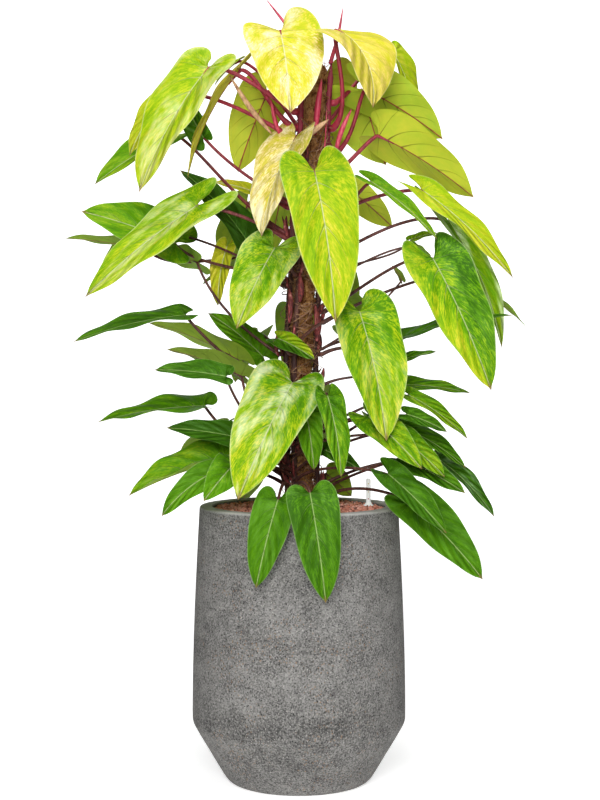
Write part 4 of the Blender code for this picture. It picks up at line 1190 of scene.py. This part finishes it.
def spear_piece(name, stem, tip):
    start = stem_centre(stem, STEMS[stem][1] + SPEAR_SEAT)
    middle = start.lerp(Vector(tip), 0.5) + Vector((0.002, 0.0, 0.0))
    line = smooth_line([start, start + UP * 0.006, middle, Vector(tip)], SPEAR_RINGS)
    radii = [SPEAR_RADIUS * (1 - (step / (SPEAR_RINGS - 1)) ** 3.5) + 0.0004 for step in range(SPEAR_RINGS)]
    bm = bmesh.new()
    sweep(bm, line, radii, 12)
    return finish_piece(bm, f"{name}_rolled", [SPEAR], [name])


spears = [spear_piece("spear_left", "left", (-0.063, -0.01, 1.4945)),
          spear_piece("spear_right", "right", (0.084, -0.01, 1.4795))]
print("spears:", len(spears))

# %% Sheath finishes
DRY = streaked_finish(
    "dried_sheath", Streaks(0.2, 260.0, 4.0, 0.65, 0.5), Streaks(1.0, 60.0, 2.0, 0.5, 0.5),
    ((0.32, (0.2, 0.075, 0.03)), (0.52, (0.56, 0.33, 0.17)), (0.72, (0.82, 0.6, 0.4))),
    (0.7, 0.0), 0.001)
OLD_SHEATH = streaked_finish(
    "old_sheath", Streaks(0.15, 340.0, 4.0, 0.65, 0.5), Streaks(1.0, 120.0, 3.0, 0.5, 0.5),
    ((0.38, (0.02, 0.007, 0.006)), (0.49, (0.15, 0.018, 0.018)),
     (0.58, (0.34, 0.06, 0.06)), (0.68, (0.64, 0.33, 0.27))),
    (0.6, 0.2), 0.0012)

# %% Sheaths
# Each sheath: its foot, its middle, its tip, its half width, and its age.
SHEATHS = (
    ((0.031, -0.022, 1.235), (0.036, -0.03, 1.29), (0.043, -0.03, 1.34), 0.006, "fresh"),
    ((0.066, -0.04, 1.19), (0.08, -0.048, 1.24), (0.099, -0.05, 1.281), 0.005, "fresh"),
    ((-0.036, -0.02, 1.235), (-0.046, -0.03, 1.265), (-0.053, -0.03, 1.302), 0.0042, "fresh"),
    ((0.046, -0.035, 1.185), (0.05, -0.038, 1.23), (0.052, -0.038, 1.281), 0.0014, "fresh"),
    ((0.002, -0.034, 0.92), (0.004, -0.04, 0.945), (0.001, -0.042, 0.975), 0.006, "old"),
    ((-0.018, -0.034, 0.88), (-0.016, -0.04, 0.915), (-0.018, -0.04, 0.945), 0.0055, "old"),
    ((0.034, -0.034, 0.845), (0.036, -0.042, 0.88), (0.03, -0.042, 0.915), 0.007, "old"),
    ((-0.038, -0.022, 0.815), (-0.044, -0.03, 0.835), (-0.041, -0.03, 0.86), 0.004, "old"),
    ((-0.052, -0.025, 1.238), (-0.092, -0.034, 1.285), (-0.131, -0.03, 1.346), 0.005, "dry"),
    ((0.006, -0.04, 1.225), (0.028, -0.052, 1.24), (0.056, -0.055, 1.261), 0.006, "dry"),
)
YOUNGEST_SHEATH_Z = 1.2
SHEATH_RINGS = 18


def node_sheaths(leaves):
    """The withered sheath that stays beside the foot of each old stalk."""
    found = []
    for number, leaf in enumerate(leaves):
        if leaf.node_z > YOUNGEST_SHEATH_Z:
            continue
        chance = random.Random(900 + number)
        centre = stem_centre(leaf.stem, leaf.node_z - 0.004)
        away = (centre - pole_axis(centre.z)).normalized()
        turned = Quaternion(UP, chance.uniform(-1.1, 1.1)) @ away
        foot = centre + turned * STEM_RADIUS * 0.7
        length = chance.uniform(0.02, 0.048)
        middle = foot + UP * length * 0.5 + turned * length * 0.22
        tip = foot + UP * length + turned * length * chance.uniform(0.1, 0.5)
        found.append((foot, middle, tip, chance.uniform(0.0026, 0.0052), "old"))
    return found


def build_sheaths(age, finish):
    """All the sheaths of one age, as spindles in one piece."""
    last = SHEATH_RINGS - 1
    bm = bmesh.new()
    for foot, middle, tip, width, grown in SHEATHS + tuple(node_sheaths(LEAVES + SMALL_LEAVES)):
        if grown != age:
            continue
        line = smooth_line([Vector(foot), Vector(middle), Vector(tip)], SHEATH_RINGS)
        swell = [math.sin(math.pi * min(1.0, 0.04 + step / last)) ** 0.8 for step in range(last)]
        sweep(bm, line, [width * (0.25 + share * 0.75) for share in swell] + [width * 0.12], 10)
    return finish_piece(bm, f"{age}_sheaths", [finish])


sheaths = [build_sheaths(*pair) for pair in (("fresh", SPEAR), ("old", OLD_SHEATH), ("dry", DRY))]
print("sheath faces:", [len(piece.data.polygons) for piece in sheaths])

# %% [markdown]
# ## The water gauge
# Plants grown in clay granules are watered by a gauge: a clear tube, with a flared foot, in which a
# red float rises with the water. Its tube, lid, foot and float are turned about the gauge's own
# axis, and its three marks are beads of paint. What is clear is made so by its alpha and not by
# refraction, since a thin tube hardly bends the light.

# %% Gauge finishes
# The clear plastic glows faintly: painted light that stands in for light coming through the tube.
GLOWING_CLEAR = streaked_finish(
    "clear_tube", Streaks(0.2, 150.0, 2.0, 0.5, 1.0), None,
    ((0.3, (0.86, 0.87, 0.86)), (0.7, (0.94, 0.95, 0.94))), (0.3, 0.12), 0.0002,
    Alpha=0.85, Specular_IOR_Level=0.3, Emission_Color=(1.0, 1.0, 1.0, 1.0), Emission_Strength=0.22)


def paint_finish(name, dark, light):
    return streaked_finish(name, Streaks(1.0, 500.0, 2.0, 0.5, 1.0), None, ((0.3, dark), (0.7, light)),
                           (0.35, 0.1), 0.0001)


RED = paint_finish("red_float", (0.45, 0.02, 0.012), (0.62, 0.04, 0.02))
YELLOW = paint_finish("yellow_mark", (0.72, 0.56, 0.18), (0.86, 0.72, 0.3))

# %% Gauge
GAUGE_PLACE = (0.135, 0.036)
GAUGE_RADIUS = 0.0045
GAUGE_WALL = 0.001
GAUGE_BOTTOM_Z = 0.12
GAUGE_TOP_Z = 0.578
GAUGE_EDGE = 0.0004
FLOAT_BOTTOM_Z, FLOAT_TOP_Z, FLOAT_RADIUS = 0.13, 0.5405, 0.0027
MARKS = ((0.5525, YELLOW), (0.5685, YELLOW), (0.539, RED))
BEAD_RADII = [0.0004, 0.0008, 0.001, 0.0011, 0.0011, 0.0011, 0.001, 0.0008, 0.0004]
# Radius and height above the granules of the flared foot.
FLARE = (
    (GAUGE_RADIUS + 0.0003, 0.0), (0.0108, 0.0), (0.0108, 0.0008), (0.008, 0.0018), (0.0062, 0.0036),
    (0.0055, 0.0058), (GAUGE_RADIUS + 0.0003, 0.006), (GAUGE_RADIUS + 0.0003, 0.0),
)


def gauge_ring(name, low, high, inner, outer, finish, nodes=()):
    """A turned part of the gauge, solid or hollow, with its upper edge broken."""
    edge = [(outer, high - GAUGE_EDGE), (outer - GAUGE_EDGE, high)]
    profile = [(inner, low), (outer, low), *edge, (inner, high)]
    if inner > 0:
        profile.append(profile[0])
    return spin_profile(name, profile, [finish], nodes, steps=32, centre=GAUGE_PLACE)


def gauge_mark(name, height, finish):
    """A short bead of paint on the front of the tube."""
    x, y = GAUGE_PLACE
    bm = bmesh.new()
    line = [Vector((x + 0.0003 * step, y - GAUGE_RADIUS + 0.0001, height)) for step in range(-4, 5)]
    sweep(bm, line, BEAD_RADII, 10)
    return finish_piece(bm, name, [finish])


gauge = [
    gauge_ring("gauge_clear_tube", GAUGE_BOTTOM_Z, GAUGE_TOP_Z, GAUGE_RADIUS - GAUGE_WALL, GAUGE_RADIUS,
               GLOWING_CLEAR, ["gauge_tube"]),
    gauge_ring("gauge_lid", GAUGE_TOP_Z - 0.003, GAUGE_TOP_Z - 0.0005, 0.0, GAUGE_RADIUS - 0.0012,
               GLOWING_CLEAR),
    gauge_ring("gauge_red_float", FLOAT_BOTTOM_Z, FLOAT_TOP_Z, 0.0, FLOAT_RADIUS,
               RED, ["gauge_float"]),
]
gauge += [gauge_mark(f"gauge_mark_{index + 1}", *mark) for index, mark in enumerate(MARKS)]
gauge.append(spin_profile("gauge_flared_foot", [(radius, FILL_HIGH.z + rise) for radius, rise in FLARE],
                          [GLOWING_CLEAR], ["gauge_flange"], steps=32, centre=GAUGE_PLACE))
print("gauge pieces:", len(gauge))

# %% [markdown]
# ## What stays of the frame
# The culture pot, its root ball and the stake are buried, so they keep the frame's own solids. They
# still get finishes of their own, because anyone who takes the plant apart will see them.

# %% Buried pieces
def root_ball_finish():
    ball = Finish("bound_granules")
    lumps = ball.cells(190.0)
    web = ball.ease(0.54, 0.62, ball.streaks(0.4, 90.0, 5.0, 0.7))
    colour = ball.ramp(lumps, ((0.1, (0.17, 0.07, 0.045)), (0.6, (0.03, 0.014, 0.01))))
    colour = ball.mix(web * 0.8, colour, (0.42, 0.32, 0.2))
    return ball.coat(colour, 0.85, lumps, 0.002)


def stake_finish():
    wood = Finish("stake_wood")
    grain = wood.cloud(wood.place((9.0, 9.0, 0.6)), 60.0, 4.0, 0.6)
    colour = wood.ramp(grain, ((0.32, (0.23, 0.12, 0.05)), (0.68, (0.5, 0.32, 0.16))))
    return wood.coat(colour, 0.6 + grain * 0.2, grain, 0.0004)


MOULDED = streaked_finish(
    "black_moulding", Streaks(1.0, 700.0, 3.0, 0.6, 1.0), None,
    ((0.3, (0.01, 0.01, 0.011)), (0.7, (0.035, 0.035, 0.036))), (0.5, 0.15), 0.0003)
BURIED = {"culture_pot": MOULDED, "root_ball": root_ball_finish(), "pole_stake": stake_finish()}
for node, finish in BURIED.items():
    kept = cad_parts[node]
    if not kept.material_slots:
        kept.data.materials.append(finish.material)
    for place in kept.material_slots:
        place.link = "OBJECT"
        place.material = finish.material
print("kept from the frame:", list(BURIED))

# %% [markdown]
# ## Camera and light
# The plant is seen square on, from a little above its middle, through a long lens that keeps the
# planter's sides straight. It stands on a pale floor that curves up behind it. Broad soft lights in
# front and above leave almost no shadow, which is how plants are shown for sale.

# %% Floor
FLOOR_HALF_WIDTH = 6.5
FLOOR_FRONT = -6.0
WALL_START = 5.4
WALL_ROUND = 1.6
WALL_TOP = 7.0
SHADE_FROM, SHADE_FULL = 0.66, 1.5
FLOOR_SPREAD = 0.18


def floor_finish():
    """White round the plant, shading off to grey at both sides, where it's out of sight."""
    paint = Finish("floor_paint")
    place = paint.place()
    x, y, _ = paint.parts(place)
    aside = paint.ease(SHADE_FROM, SHADE_FULL, abs(x) - y * FLOOR_SPREAD)
    glow = paint.mix(paint.ease(1.0, 5.0, y), (0.58, 0.58, 0.58), (1.0, 1.0, 1.0))
    glow = paint.mix(aside, glow, (0.06, 0.06, 0.06))
    colour = paint.ramp(paint.cloud(place, 2.0), ((0.3, (0.9, 0.9, 0.9)), (0.7, (0.92, 0.92, 0.92))))
    colour = paint.mix(aside, colour, (0.45, 0.45, 0.45))
    return paint.coat(colour, 0.9, Specular_IOR_Level=0.1, Emission_Color=glow, Emission_Strength=1.0)


def sweep_floor():
    profile = [(FLOOR_FRONT, 0.0), (WALL_START, 0.0)]
    for step in range(1, 13):
        turn = math.radians(step * 7.5)
        profile.append((WALL_START + WALL_ROUND * math.sin(turn), WALL_ROUND * (1.0 - math.cos(turn))))
    profile.append((WALL_START + WALL_ROUND, WALL_TOP))
    bm = bmesh.new()
    spots = [bm.verts.new((-FLOOR_HALF_WIDTH, y, z)) for y, z in profile]
    edges = [bm.edges.new(pair) for pair in zip(spots, spots[1:])]
    made = bmesh.ops.extrude_edge_only(bm, edges=edges)["geom"]
    far_side = [item for item in made if isinstance(item, bmesh.types.BMVert)]
    bmesh.ops.translate(bm, verts=far_side, vec=(2 * FLOOR_HALF_WIDTH, 0, 0))
    bmesh.ops.recalc_face_normals(bm, faces=bm.faces)
    floor = mesh_object(bm, "pale_floor", [floor_finish()])
    return floor


floor = sweep_floor()
print("floor faces:", len(floor.data.polygons))

# %% Camera
def aimed(name, data, place, target):
    """Add a camera or a light at a place, looking at a target."""
    made = bpy.data.objects.new(name, data)
    made.location = place
    made.rotation_euler = (Vector(target) - Vector(place)).to_track_quat("-Z", "Y").to_euler()
    bpy.context.scene.collection.objects.link(made)
    return made


camera_data = bpy.data.cameras.new("camera")
camera_data.lens = 77.2
camera_data.sensor_width = 36.0
bpy.context.scene.camera = aimed("camera", camera_data, (0.002, -3.29, 0.842), (0.002, 0.0, 0.732))
print("camera:", tuple(bpy.context.scene.camera.location))

# %% Light
def soft_light(name, place, target, size, power):
    data = bpy.data.lights.new(name, "AREA")
    data.shape = "DISK"
    data.size = size
    data.energy = power
    return aimed(name, data, place, target)


lights = [
    soft_light("front_light", (-0.35, -3.7, 1.85), (0, 0, 0.85), 1.6, 124),
    soft_light("side_light", (1.4, -2.8, 2.6), (0, 0, 0.9), 1.4, 26),
    soft_light("top_light", (0.0, -0.5, 4.2), (0, 0, 0.9), 2.0, 84),
]
world = bpy.data.worlds.new("pale_room")
world.use_nodes = True
backdrop = world.node_tree.nodes["Background"].inputs
backdrop["Color"].default_value = (1.0, 1.0, 1.0, 1.0)
backdrop["Strength"].default_value = 0.05
bpy.context.scene.world = world
bpy.context.scene.view_settings.view_transform = "Standard"
print("lights:", len(lights))
